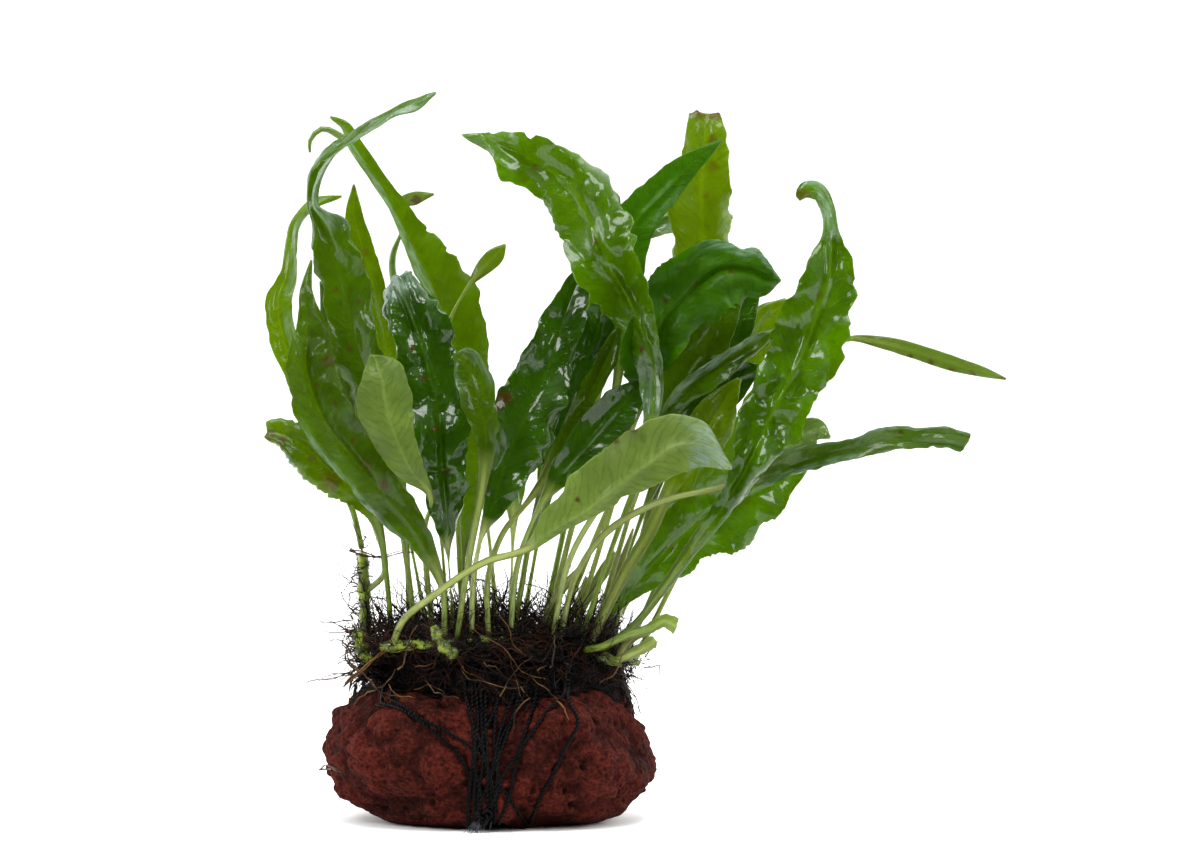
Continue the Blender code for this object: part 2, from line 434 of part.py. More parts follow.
def unit(vectors):
    return vectors / np.linalg.norm(vectors, axis=-1, keepdims=True)


def object_from_rings(name, rings, material):
    """A closed body through rings of points in millimetres, capped at both ends."""
    count, sides = rings.shape[:2]
    mesh = bpy.data.meshes.new(name)
    faces = []
    for i in range(count - 1):
        below, above = i * sides, (i + 1) * sides
        for j in range(sides):
            k = (j + 1) % sides
            faces.append((below + j, below + k, above + k, above + j))
    faces.append(tuple(reversed(range(sides))))
    faces.append(tuple((count - 1) * sides + j for j in range(sides)))
    mesh.from_pydata((rings.reshape(-1, 3) * MM).tolist(), [], faces)
    mesh.validate()
    return add_object(name, mesh, material)


def add_object(name, mesh, material):
    """An object for a mesh, faces turned outwards, placed so that the resting flat is at the origin."""
    work = bmesh.new()
    work.from_mesh(mesh)
    bmesh.ops.recalc_face_normals(work, faces=work.faces)
    bmesh.ops.triangulate(work, faces=work.faces)
    work.to_mesh(mesh)
    work.free()
    mesh.shade_smooth()
    mesh.set_sharp_from_angle(angle=math.radians(40))
    thing = bpy.data.objects.new(name, mesh)
    thing.data.materials.append(finish(material))
    thing.location.x = -REST_ACROSS * MM
    bpy.context.scene.collection.objects.link(thing)
    return thing


def tube(name, path, radii, sides, material):
    """A tube of the given number of sides along a path in millimetres."""
    along = unit(np.vstack((path[1:], path[-1])) - np.vstack((path[0], path[:-1])))
    runs_deep = np.ptp(path[:, 1]) > np.ptp(path[:, 0])
    reference = np.array((1.0, 0.1, 0.05)) if runs_deep else np.array((0.1, -1.0, 0.1))
    first = unit(reference - (along @ reference)[:, None] * along)
    second = np.cross(along, first)
    angle = np.arange(sides) * 2 * math.pi / sides
    radii = np.asarray(radii)[:, None, None]
    across = first[:, None] * np.cos(angle)[:, None] + second[:, None] * np.sin(angle)[:, None]
    return object_from_rings(name, path[:, None] + radii * across, material)


def add_boolean(thing, other, operation):
    """An exact Boolean with a helper object that is not part of the plant."""
    other.hide_render = True
    other.display_type = "WIRE"
    modifier = thing.modifiers.new(other.name, "BOOLEAN")
    modifier.operation = operation
    modifier.solver = "EXACT"
    modifier.object = other


def stone_points(swell=0.0):
    """The stone's surface: its outline, shrunk towards the front and back, with lumps and pits."""
    outline = np.array(STONE_OUTLINE, float) - (0, STONE_HEART)
    angle = np.unwrap(np.arctan2(outline[:, 1], outline[:, 0]))
    reach = np.hypot(outline[:, 0], outline[:, 1])
    turn = math.copysign(2 * math.pi, angle[1] - angle[0])
    angle, reach = np.append(angle, angle[0] + turn), np.append(reach, reach[0])
    if turn < 0:
        angle, reach = angle[::-1], reach[::-1]
    around = angle[0] + np.arange(STONE_AROUND) * 2 * math.pi / STONE_AROUND
    radius = np.interp(around, angle, reach)
    lean = np.linspace(-math.pi / 2, math.pi / 2, STONE_ACROSS)
    points = np.zeros((STONE_ACROSS, STONE_AROUND, 3))
    inward = np.abs(np.cos(lean)) ** STONE_FULLNESS
    points[:, :, 0] = inward[:, None] * radius * np.cos(around)
    points[:, :, 1] = (STONE_HALF_DEPTH * np.sin(lean))[:, None]
    points[:, :, 2] = STONE_HEART + inward[:, None] * radius * np.sin(around)
    heart = np.array((0, 0, STONE_HEART))
    outward = unit(points - heart)
    rise = np.zeros(points.shape[:2])
    for across, height, side, spread, lift in STONE_LUMPS:
        centre = np.array((across, side * STONE_HALF_DEPTH * 0.85, height))
        rise += lift * np.exp(-((points - centre) ** 2).sum(-1) / (2 * spread * spread))
    for place in np.ndindex(rise.shape):
        rough = noise.fractal(Vector(points[place]) / STONE_ROUGH_SIZE, 0.9, 2.1, 3)
        calm = min(1.0, max(0.0, points[place][2] / STONE_CALM_BELOW))
        rise[place] += STONE_ROUGH * rough * calm
    points += outward * (rise + swell)[:, :, None]
    hollow = np.clip((HOLLOW_HALF_WIDTH + HOLLOW_SLOPE - np.abs(points[:, :, 0])) / HOLLOW_SLOPE, 0, 1)
    points[:, :, 2] = np.maximum(points[:, :, 2], HOLLOW_HEIGHT * hollow - swell)
    return points


def stone_body(name, swell=0.0):
    """The stone, or a copy swollen all round, closed by one point at the front and one at the back."""
    points = stone_points(swell)
    inner = points[1:-1]
    rows, sides = inner.shape[:2]
    vertices = [points[0].mean(0), *inner.reshape(-1, 3), points[-1].mean(0)]
    last = len(vertices) - 1
    faces = []
    for j in range(sides):
        k = (j + 1) % sides
        faces.append((0, 1 + k, 1 + j))
        faces.append((last, last - sides + j, last - sides + k))
        for i in range(rows - 1):
            low, high = 1 + i * sides, 1 + (i + 1) * sides
            faces.append((low + j, low + k, high + k))
            faces.append((low + j, high + k, high + j))
    mesh = bpy.data.meshes.new(name)
    mesh.from_pydata([tuple(v * MM) for v in vertices], [], faces)
    return add_object(name, mesh, "stone")


def root_strand(number, route):
    """A tapering root that starts inside the mat."""
    path = smooth([in_space(point) for point in route], 2)
    radii = np.linspace(ROOT_THICK / 2, ROOT_THICK / 6, len(path))
    return tube(f"strand_{number}", path, radii, 3, "root")


def root_tuft(name, across, depth, height):
    """A leaning spike of loose roots that starts inside the mat."""
    lean = TUFT_LEAN * noise.noise(Vector((across * 0.7, depth, 0.5)))
    path = np.array(((across, depth, TUFT_FOOT), (across + lean, depth, (TUFT_FOOT + height) / 2 + 2),
                     (across - lean * 0.4, depth, height)))  # fmt: skip
    share = np.array((1.0, 0.75, 0.12))
    corners = np.array(((-1, 0), (0, -1), (1, 0), (0, 1))) * TUFT_HALF
    rings = np.repeat(path[:, None], 4, axis=1)
    rings[:, :, :2] += share[:, None, None] * corners
    return object_from_rings(name, rings, "root")


def mat_dome(name="root_mat"):
    """A low lumpy dome on top of the stone."""
    lean = np.linspace(-math.pi / 2, math.pi / 2, MAT_UP)[1:-1]
    around = np.arange(MAT_AROUND) * 2 * math.pi / MAT_AROUND
    ring = np.stack((np.cos(around), np.sin(around), np.zeros(MAT_AROUND)), axis=1)
    points = (np.cos(lean) ** MAT_FULLNESS)[:, None, None] * ring
    points[:, :, 2] += (np.sign(lean) * np.abs(np.sin(lean)) ** MAT_FULLNESS)[:, None]
    pole = np.tile((0.0, 0.0, 1.0), (1, MAT_AROUND, 1))
    points = np.concatenate((-pole, points, pole))
    for place in np.ndindex(points.shape[:2]):
        points[place] *= 1 + 0.16 * noise.noise(Vector(points[place]) * 3.1)
    points = points * MAT_HALF + MAT_CENTRE
    points[0], points[-1] = points[0].mean(0), points[-1].mean(0)
    dome = object_from_rings(name, points, "root")
    weld = dome.modifiers.new("poles", "WELD")
    weld.merge_threshold = 0.00001
    return dome


def finish_mat(mat):
    """Join the outer and standing roots to the dome, then clear it of the stone."""
    for number, route in enumerate(ROOT_STRANDS):
        add_boolean(mat, root_strand(number, route), "UNION")
    for depth, tufts in TUFT_ROWS:
        for across, height in tufts:
            add_boolean(mat, root_tuft(f"tuft_{depth}_{across}", across, depth, height), "UNION")
    add_boolean(mat, stone_body("stone_swollen", GAP), "DIFFERENCE")


def solid_tree(*things):
    """The given objects' evaluated faces as one search tree."""
    bpy.context.view_layer.update()
    graph = bpy.context.evaluated_depsgraph_get()
    vertices, faces = [], []
    for thing in things:
        mesh = thing.evaluated_get(graph).to_mesh()
        start = len(vertices)
        vertices += [v.co.copy() for v in mesh.vertices]
        faces += [[start + i for i in face.vertices] for face in mesh.polygons]
    return BVHTree.FromPolygons(vertices, faces)


def reach_round(tree, across):
    """How far the surface reaches from the stone's long axis, at even angles round it."""
    out = []
    for step, place in enumerate(across):
        theta = step * 2 * math.pi / len(across)
        outward = Vector((0, -math.sin(theta), math.cos(theta)))
        heart = Vector((place, 0, STONE_HEART)) * MM
        hit = tree.ray_cast(heart + outward * 0.1, -outward)[0]
        out.append((hit - heart).length / MM)
    return taut(np.array(out))


def round_stone(theta, across, radius):
    """Points in millimetres at these angles (in degrees) and distances round the stone's long axis."""
    theta = np.radians(theta)
    return np.stack((across, -radius * np.sin(theta), STONE_HEART + radius * np.cos(theta)), axis=-1)


def thread_path(tree, places):
    """One turn of thread, stretched over the stone and mat, with its points closer where it bends."""
    fine = np.linspace(THREAD_ANGLES[0], THREAD_ANGLES[-1], THREAD_SAMPLES)
    across = np.interp(fine, THREAD_ANGLES, places)
    kernel = np.hanning(THREAD_SOFTEN) / np.hanning(THREAD_SOFTEN).sum()
    across = np.convolve(np.pad(across, THREAD_SOFTEN // 2, "edge"), kernel, "valid")
    degrees = np.arange(-180, 180, 3)
    radius = reach_round(tree, np.roll(np.interp(degrees, fine, across), -len(degrees) // 2))
    radius = np.maximum.reduce([np.roll(radius, step) for step in (-1, 0, 1)])
    radius = np.interp(fine % 360, np.arange(0, 363, 3), np.append(radius, radius[0]))
    path = round_stone(fine, across, radius + THREAD_THICK / 2 + THREAD_LIFT)
    path[:, 2] = np.maximum(path[:, 2], THREAD_THICK / 2 + GAP)
    heading = unit(np.gradient(path, axis=0))
    bend = np.linalg.norm(np.gradient(heading, axis=0), axis=1)
    weight = np.cumsum(bend / bend.sum() + 1 / len(fine))
    keep = np.searchsorted(weight, np.linspace(weight[0], weight[-1], THREAD_RINGS))
    return path[keep]


def taut(radius):
    """The polar radius of the convex outline round a polar curve."""
    theta = np.arange(len(radius)) * 2 * math.pi / len(radius)
    x, y = radius * np.cos(theta), radius * np.sin(theta)
    out = radius.copy()
    for i, (cos, sin) in enumerate(zip(np.cos(theta), np.sin(theta))):
        side = x * -sin + y * cos
        ahead = x * cos + y * sin
        left = [(a, s) for a, s in zip(ahead, side) if s > 1e-9 and a > 0]
        right = [(a, s) for a, s in zip(ahead, side) if s < -1e-9 and a > 0]
        for a1, s1 in left:
            crossing = [(a1 * -s2 + a2 * s1) / (s1 - s2) for a2, s2 in right]
            out[i] = max(out[i], *crossing)
    return out


def thread_bundle(tree):
    """The turns side by side under the foot: a flat band that follows the stone."""
    radius = np.max([reach_round(tree, np.full(120, x)) for x in (-4, -2, 0, 2, 4)], axis=0)
    theta = np.linspace(*BUNDLE_ANGLES, BUNDLE_RINGS)
    inner = np.interp(theta, np.arange(0, 360, 3), radius) + GAP
    narrow = BUNDLE_HALF_WIDTH * np.sin(np.linspace(0.5, math.pi - 0.5, BUNDLE_RINGS)) ** 0.5
    sides = ((-1, 0.5), (-0.6, 0), (0.6, 0), (1, 0.5), (0.6, 1), (-0.6, 1))
    rings = [round_stone(theta, across * narrow, inner + BUNDLE_THICK * out) for across, out in sides]
    return object_from_rings("binding_thread", np.stack(rings, axis=1), "thread")


def binding_thread(tree, turn_paths):
    """The thread: its turns joined to the bundle that they run together in."""
    bundle = thread_bundle(tree)
    for number, path in enumerate(turn_paths):
        turn = tube(f"thread_turn_{number}", path, np.full(len(path), THREAD_THICK / 2), 4, "thread")
        add_boolean(bundle, turn, "UNION")


def rhizome(name, route):
    """A knobbly creeping stem with a tapered growing tip."""
    path = smooth([in_space(point) for point in route], 2)
    share = np.linspace(0, 1, len(path))
    knobs = 1 + 0.16 * np.sin(share * 19 + len(name))
    taper = np.minimum(1, 0.55 + 3 * np.minimum(share, 1 - share))
    return tube(name, path, RHIZOME_THICK / 2 * knobs * taper, 6, "rhizome")


def seat_on(route, point):
    """The point of a rhizome's middle line nearest to a given one, and how far off it a stalk starts."""
    path = smooth([in_space(step) for step in route], 8)
    nearest = np.argmin(np.linalg.norm(path - point, axis=1))
    at_end = nearest == len(path) - 1
    return path[nearest], RHIZOME_END_SEAT if at_end else RHIZOME_THICK / 2 + RHIZOME_SEAT


def frond_rows(frond):
    """The rows in space, with the first moved onto the outside of the rhizome."""
    rows = np.array(frond.rows, float)
    rows[:, :3] = [in_space(row) for row in frond.rows]
    heart, seat = seat_on(RHIZOMES[frond.grows_on], rows[0, :3])
    rows[0, :3] = heart + unit(rows[1, :3] - heart) * seat
    return rows


def without_straight(rows):
    """The rows less those along a straight stretch of stalk."""
    keep = [0]
    for i in range(1, len(rows) - 1):
        before = unit(rows[i, :3] - rows[keep[-1], :3])
        after = unit(rows[i + 1, :3] - rows[i, :3])
        straight = before @ after > math.cos(STALK_BEND)
        slim = rows[i : i + 2, 3:5].max() < STALK_HALF_WIDTH
        if not (straight and slim):
            keep.append(i)
    return rows[[*keep, len(rows) - 1]]


def frond_body(name, frond):
    """A leaf as rings of four: its left edge, the back of its midrib, its right edge and the front."""
    rows = without_straight(smooth(frond_rows(frond), FROND_STEPS))
    middle, left, right, turn = rows[:, :3], rows[:, 3], rows[:, 4], np.radians(rows[:, 5])
    left, right = np.maximum(left, 0.35), np.maximum(right, 0.35)
    along = unit(np.gradient(middle, axis=0))
    facing = np.array((0.0, -1.0, 0.0))
    facing = unit(facing - (along @ facing)[:, None] * along)
    side = np.cross(along, facing)
    cos, sin = np.cos(turn)[:, None], np.sin(turn)[:, None]
    side, facing = side * cos + facing * sin, facing * cos - side * sin
    share = np.linspace(0, 1, len(rows))
    blade = np.clip((np.maximum(left, right) - 1.5) / 3, 0, 1)
    half_thick = np.maximum(left.clip(0, 1), 0.4) * (1 - 0.45 * blade * (0.4 + 0.6 * share))
    wave = frond.ruffle * blade * np.sin(share * 2 * math.pi * 4.5)
    fold_left, fold_right = (math.radians(a) * blade for a in frond.fold)
    rise_left, rise_right = np.sin(fold_left) + wave, np.sin(fold_right) - wave
    left_reach = facing * rise_left[:, None] - side * np.cos(fold_left)[:, None]
    right_reach = facing * rise_right[:, None] + side * np.cos(fold_right)[:, None]
    left_edge, right_edge = middle + left[:, None] * left_reach, middle + right[:, None] * right_reach
    front, back = middle + facing * half_thick[:, None], middle - facing * half_thick[:, None]
    rings = np.stack((left_edge, back, right_edge, front), axis=1)
    return object_from_rings(name, rings, frond.finish)


def build():
    """Make the stone, then what holds the plant, then the plant from its stems to its leaves."""
    clear_scene()
    stone = stone_body("stone")
    mat = mat_dome()
    tree = solid_tree(stone, mat)
    turn_paths = [thread_path(tree, places) for places in THREAD_TURNS]
    binding_thread(tree, turn_paths)
    finish_mat(mat)
    for name, route in RHIZOMES.items():
        rhizome(name, route)
    for name, frond in {**FRONDS, **STUBS}.items():
        frond_body(name, frond)


build()
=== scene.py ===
"""The looks of a java fern tied on lava stone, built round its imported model.

Metres in Blender and millimetres in the sums, +Z up, front towards -Y, with the origin on the left
flat that the stone rests on. Routes of stems and leaves are written as (across, up, depth): across
from the middle of the stone, up as the eye in front sees it, and depth away from that eye.
"""

import logging
import math
from dataclasses import dataclass, field
from enum import Enum

import bpy
import numpy as np
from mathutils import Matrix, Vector
from mathutils.bvhtree import BVHTree


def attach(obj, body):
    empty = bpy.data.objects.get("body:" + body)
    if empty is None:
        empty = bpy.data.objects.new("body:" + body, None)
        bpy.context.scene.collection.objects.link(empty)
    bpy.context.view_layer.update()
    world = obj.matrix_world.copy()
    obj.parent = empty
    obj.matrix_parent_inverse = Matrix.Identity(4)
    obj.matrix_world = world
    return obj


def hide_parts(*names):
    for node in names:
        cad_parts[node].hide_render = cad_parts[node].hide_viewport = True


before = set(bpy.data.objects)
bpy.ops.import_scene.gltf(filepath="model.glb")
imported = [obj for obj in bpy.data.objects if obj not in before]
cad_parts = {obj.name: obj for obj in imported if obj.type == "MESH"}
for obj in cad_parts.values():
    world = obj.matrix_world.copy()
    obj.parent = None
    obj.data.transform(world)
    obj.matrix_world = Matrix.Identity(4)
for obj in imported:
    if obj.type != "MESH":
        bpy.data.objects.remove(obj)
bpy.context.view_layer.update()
LOG = logging.getLogger("java_fern")

MM = 0.001
SIGHT_ELEVATION = math.radians(6)
ORIGIN_ACROSS = 16.0
PHOTO_WIDTH, PHOTO_HEIGHT = 1200, 857
PIXEL = 0.34


class Leaf(Enum):
    """The kinds of leaf surface, by the material slot that each is painted from."""

    BRIGHT = "leaf_bright"
    LIGHT = "leaf_light"
    MID = "leaf_mid"
    DEEP = "leaf_deep"
    GREY = "leaf_grey"
    UNDERSIDE = "leaf_underside"
    BROWN = "leaf_brown"
    STALK = "stalk"


@dataclass(frozen=True)
class Frond:
    """A leaf with its stalk, from the rhizome to the tip.

    Each row is (across, up, depth, left, right, turn): a point of the midrib, how far the blade
    reaches on each side of it, and the angle by which the blade's right edge comes forward. The
    fold is how far each half is bent forward, and teeth is how strongly the margin is notched.
    """

    kind: Leaf
    grows_on: str
    rows: tuple
    fold: tuple = (14, 14)
    ruffle: float = 0.07
    teeth: float = 0.0


# Creeping stems that the leaves grow from, as (across, up, depth)
RHIZOMES = {
    "rhizome_front": ((-37, 59, -19), (-26, 59.5, -20), (-14, 60, -24), (-4, 60.5, -23), (9, 61, -18)),
    "rhizome_middle": ((-36, 61, -7), (-22, 62.5, -7), (-8, 63, -7), (8, 63.5, -8), (23, 62, -6)),
    "rhizome_back": (
        (-31, 62, 9), (-18, 64, 12), (-4, 64.5, 14), (10, 64.5, 15), (24, 63, 14), (41, 57.5, 15)
    ),
    "rhizome_right_front": ((19, 59, -18), (28, 58, -15), (37, 56, -13), (45, 53, -12)),
    "rhizome_right_back": ((28, 61, 1), (36, 59.5, 2), (44, 56, 4), (51, 53, 7)),
    "rhizome_upright": ((-41, 57, -2), (-42, 66, -3), (-42.5, 78, -4), (-43, 91, -4)),
    "rhizome_left_tip": ((-40, 52, -13), (-43, 57, -15), (-45, 65, -16)),
    "rhizome_front_shoot": ((-11, 56, -33), (-15, 59, -34), (-19, 66, -34)),
}

FRONDS = {
    "leaf_left_tall": Frond(Leaf.MID, "rhizome_middle", (
        (-25, 65, -6, 1, 1, 0), (-28, 88, -9, 1, 1, 0), (-33, 116, -14, 1.2, 1.2, 0),
        (-39, 142, -17, 7, 6, 0),
        (-43, 157, -18, 9, 8, 0), (-47, 173, -18, 9, 8.5, 4), (-51, 188, -18, 8, 8.5, 12),
        (-56.5, 202, -16, 4.5, 8, 18),
        (-58, 210, -15, 4, 4.2, 58), (-56, 219, -14, 4.6, 4.8, 50), (-52, 227, -13, 4.8, 5, 42),
        (-45.5, 232, -11, 3.4, 3.6, 42), (-39, 236, -9, 2.8, 3.4, 45),
        (-34, 239.3, -7, 1.8, 2.2, 50), (-26, 243, -5, 2.4, 3, 40), (-18, 247, -3, 0.4, 0.4, 40))),
    "leaf_far_left_curled": Frond(Leaf.LIGHT, "rhizome_upright", (
        (-43, 91, -4, 1, 1, 0), (-46, 104, -5, 1, 1, 0), (-53, 120, -6, 1.5, 1.5, 0),
        (-63, 146, -7, 4.6, 5, 0),
        (-69.5, 165, -7, 4.6, 4.5, 0), (-71.5, 177, -7, 4.2, 5, 8), (-68.5, 186, -7, 3.3, 4, 30),
        (-66.5, 195, -6, 2.8, 3, 45),
        (-65, 203, -4, 2.4, 2.6, 45), (-60, 209, -1, 2.4, 2.4, 45),
        (-50, 212, 3, 0.4, 0.4, 40)), ruffle=0.16),
    "leaf_front_left_wide": Frond(Leaf.DEEP, "rhizome_front", (
        (-15, 64, -24, 1, 1, 0), (-16, 80, -29, 1.3, 1.3, 0), (-23, 94, -34, 4, 4, 0),
        (-33, 107, -37, 8, 7, 0),
        (-45, 122, -38, 8.6, 9.5, 0), (-55.5, 137, -38, 8.6, 10, 0), (-61, 152, -37, 7.6, 10, 0),
        (-62, 167, -35, 4.4, 7, 0),
        (-62, 180, -33, 2, 2.6, 20), (-60, 190, -30, 0.4, 0.4, 20)), fold=(24, 8)),
    "leaf_left_torn": Frond(Leaf.LIGHT, "rhizome_middle", (
        (-33, 64, -8, 1, 1, 0), (-35, 84, -16, 1, 1, 0), (-38, 101, -21, 2, 2, 0),
        (-46, 113, -24, 6, 6.4, 0),
        (-56, 121, -26, 8.6, 8.2, 0), (-64.5, 128, -26, 8.4, 7.2, 0), (-71, 131.5, -25, 5.2, 5.6, 0),
        (-75, 132.5, -24, 2.4, 3, 0)), ruffle=0.14, teeth=0.1),
    "leaf_left_pale_back": Frond(Leaf.UNDERSIDE, "rhizome_middle", (
        (-19, 65, -7, 1, 1, 0), (-21, 82, -12, 1, 1, 0), (-22, 97, -18, 1, 1, 0),
        (-20, 111, -36, 1.2, 1.2, 0),
        (-26, 120, -45, 5, 4.4, 0), (-31, 131, -47, 8.5, 7, 0), (-34, 140, -47, 9.8, 9, 0),
        (-36, 149, -46, 8.6, 8.6, 0),
        (-38, 155, -44, 4.8, 5.6, 0), (-39, 158, -43, 1, 1.4, 0)), fold=(-8, -8)),
    "leaf_left_dark_strip": Frond(Leaf.DEEP, "rhizome_upright", (
        (-41, 77, -4, 1, 1, 0), (-36, 83, -8, 1, 1, 0), (-40, 104, -10, 1, 1, 0),
        (-45, 128, -11, 1.5, 1.5, 0), (-50, 150, -11, 2.8, 2.8, 0),
        (-54, 168, -10, 2.8, 2.8, 0), (-57, 183, -9, 0.6, 0.6, 0))),
    "leaf_left_upright": Frond(Leaf.LIGHT, "rhizome_back", (
        (-27, 66, 10, 1, 1, 0), (-29, 108, 13, 1.1, 1.1, 0), (-34, 150, 14, 3, 3, 0),
        (-38, 175, 14, 4.2, 4, 0),
        (-43, 195, 13, 4, 4, 0), (-46, 208, 12, 2.6, 2.6, 0), (-46, 216, 11, 0.4, 0.4, 0))),
    "leaf_left_glossy": Frond(Leaf.DEEP, "rhizome_middle", (
        (-12, 66, -9, 1, 1, 0), (-14, 92, -19, 1, 1, 0), (-15, 105, -23, 6, 5, 0),
        (-16, 121, -26, 8, 9, 0),
        (-17, 137, -27, 9, 10.5, 0), (-20, 152, -27, 10, 10, 0), (-25, 167, -26, 9, 11, 0),
        (-29.5, 178, -24, 8.5, 8.5, 0), (-32.5, 184.5, -21, 7, 6.5, 0)), ruffle=0.12),
    "leaf_centre_left_bright": Frond(Leaf.LIGHT, "rhizome_front", (
        (-11, 65, -26, 1, 1, 0), (-8, 81, -33, 1, 1, 0), (-5, 98, -38, 1.2, 1.2, 0),
        (-2, 114, -40, 1.6, 1.6, 0),
        (-1, 127, -41, 3, 3.5, 0), (-3, 140, -41, 6, 6, 0), (-5, 150, -40, 6, 7.5, 0),
        (-9, 156, -38, 4, 5, 0),
        (-12, 158, -36, 0.6, 0.6, 0))),
    "leaf_tall_folded": Frond(Leaf.MID, "rhizome_back", (
        (-9, 68, 10, 1, 1, 0), (-9, 92, 7, 1.4, 1.4, 0), (-9, 112, 5, 5, 7, 0),
        (-11, 142, 3, 7, 9.8, 0), (-14, 171, 2, 5, 13.4, 0),
        (-22, 188, 0, 6, 11.6, 0), (-30, 203.5, 0, 3, 5.8, 0), (-38.5, 219, 2, 2.6, 2.8, 0),
        (-45, 229, 4, 2.6, 2.8, 20),
        (-49, 236, 6, 2, 2, 40), (-54, 239, 8, 0.4, 0.4, 40)), fold=(52, 12)),
    "leaf_young_sprout": Frond(Leaf.LIGHT, "rhizome_middle", (
        (-9, 67, -5, 0.9, 0.9, 0), (-11, 110, -7, 0.9, 0.9, 0), (-13, 148, -9, 0.8, 0.8, 0),
        (-14, 167, -10, 0.8, 0.8, 0),
        (-6.5, 182, -10, 0.9, 0.9, 0), (-1, 188.5, -10, 2.8, 2.8, 0), (3, 192.5, -10, 2.6, 2.8, 0),
        (5.5, 195.5, -10, 0.4, 0.4, 0))),
    "leaf_back_left_curled_tip": Frond(Leaf.GREY, "rhizome_back", (
        (-14, 68, 14, 1, 1, 0), (-17, 100, 26, 1, 1, 0), (-22, 130, 33, 6, 6, 0),
        (-27, 158, 36, 5, 5, 0),
        (-31, 176, 36, 1.6, 1.6, 0), (-33, 192, 35, 1.2, 1.2, 40), (-30, 200, 34, 0.5, 0.5, 40))),
    "leaf_back_left_thin_tip": Frond(Leaf.GREY, "rhizome_back", (
        (-4, 68, 16, 1, 1, 0), (-9, 106, 20, 1, 1, 0), (-12, 146, 22, 3, 3, 0),
        (-19, 186, 21, 2.4, 2.4, 0),
        (-33, 211, 19, 1.6, 1.6, 0), (-44, 227, 17, 1.4, 1.4, 0), (-50, 232, 17, 1.3, 1.3, 0),
        (-57, 235, 17, 1, 1, 40),
        (-61, 231, 17, 0.8, 0.8, 40), (-61, 227, 17, 0.4, 0.4, 40))),
    "leaf_back_olive_tip": Frond(Leaf.UNDERSIDE, "rhizome_back", (
        (3, 69, 17, 1, 1, 0), (-2, 108, 34, 1, 1, 0), (-12, 150, 46, 6, 6, 0),
        (-20, 186, 48, 5.5, 5.5, 0),
        (-28, 204, 46, 3, 3, 0), (-30, 210, 43, 2, 2, 0), (-26, 212, 41, 2, 2.8, 0),
        (-19, 213, 38, 0.4, 0.4, 0))),
    "leaf_centre_deep_green": Frond(Leaf.DEEP, "rhizome_front", (
        (-6, 65, -24, 1, 1, 0), (-5, 83, -27, 1, 1, 0), (-2, 98, -30, 1.2, 1.2, 0),
        (1, 107, -31, 3, 5, 0),
        (7, 123, -31, 10, 11, 0), (14.5, 141, -30, 11.8, 12, 0), (22, 160, -28, 9.6, 8, 0),
        (29, 180, -25, 4.6, 6, 0),
        (34, 191, -22, 0.6, 0.6, 0)), fold=(16, 20)),
    "leaf_centre_tall_bright": Frond(Leaf.BRIGHT, "rhizome_right_front", (
        (21, 62, -18, 1, 1, 0), (28, 90, -26, 1, 1, 0), (43, 115, -34, 1.2, 1.2, 0),
        (54, 133, -37, 2, 2, 0),
        (56, 149, -38, 6, 3, 0), (53, 162, -38, 7, 5, 0), (46, 179, -38, 10, 8, 0),
        (37.5, 195, -37, 11.5, 12.5, 0),
        (33, 205, -36, 11, 13, 0), (25, 216.5, -34, 10.5, 11, 0), (13.5, 224.5, -31, 9, 9, 0),
        (3.5, 229, -28, 5.5, 4.5, 0),
        (-9, 232.5, -24, 0.4, 0.4, 0)), fold=(10, 16), ruffle=0.09),
    "leaf_front_underside": Frond(Leaf.UNDERSIDE, "rhizome_front", (
        (-33, 62, -20, 1.2, 1.2, 0), (-29, 68, -30, 1.2, 1.2, 0), (-18, 77, -40, 1.2, 1.2, 0),
        (-1, 88, -48, 1.3, 1.3, 0),
        (14, 93, -52, 2, 1.6, 0), (22, 99, -54, 7.5, 2.2, 0), (32, 104, -56, 11.5, 3, 0),
        (43, 112, -58, 14, 5, 0),
        (54, 121, -59, 13.5, 8, 0), (63, 127, -58, 11, 10, 0), (69, 127.5, -57, 8.6, 9, 8),
        (74, 125.5, -55, 6.4, 6.6, 20), (78, 122.5, -52, 4.2, 3.6, 38), (82, 119.5, -48, 0.5, 0.5, 50)),
        fold=(-10, -18)),
    "leaf_centre_pointed": Frond(Leaf.MID, "rhizome_middle", (
        (20, 66, -8, 1, 1, 0), (30, 106, -5, 1, 1, 0), (43, 146, -9, 1.4, 1.4, 0),
        (46, 178, -17, 4, 4, 0),
        (50, 203, -20, 8, 7, 0), (59, 213, -19, 7, 5.5, 0), (67, 221, -17, 5, 4, 0),
        (74, 227, -16, 2.2, 2.2, 0),
        (79, 231, -15, 0.4, 0.4, 0))),
    "leaf_centre_torn_top": Frond(Leaf.LIGHT, "rhizome_back", (
        (24, 68, 12, 1, 1, 0), (38, 100, 12, 1, 1, 0), (54, 135, 9, 1.5, 1.5, 0),
        (67, 168, 3, 7.5, 7.5, 0),
        (71.5, 193, 1, 10.5, 9.6, 0), (72.4, 211, 0, 10.2, 9.8, 0), (72.4, 223, 0, 9, 9, 0),
        (73, 231, 0, 7.2, 7.6, 0),
        (73.6, 238, 1, 6, 6, 0), (74, 241, 2, 5.2, 4.8, 0)), ruffle=0.1),
    "leaf_back_ribbed": Frond(Leaf.GREY, "rhizome_back", (
        (18, 68, 15, 1, 1, 0), (28, 110, 22, 1, 1, 0), (38, 150, 22, 1.4, 1.4, 0), (42, 183, 19, 3, 3, 0),
        (48, 198, 17, 5, 5, 0), (56, 204, 16, 6, 6, 0), (66, 206, 16, 6, 6, 0), (76, 206, 16, 4, 4, 0),
        (83, 205, 16, 0.6, 0.6, 0))),
    "leaf_right_dark_pointed": Frond(Leaf.DEEP, "rhizome_right_back", (
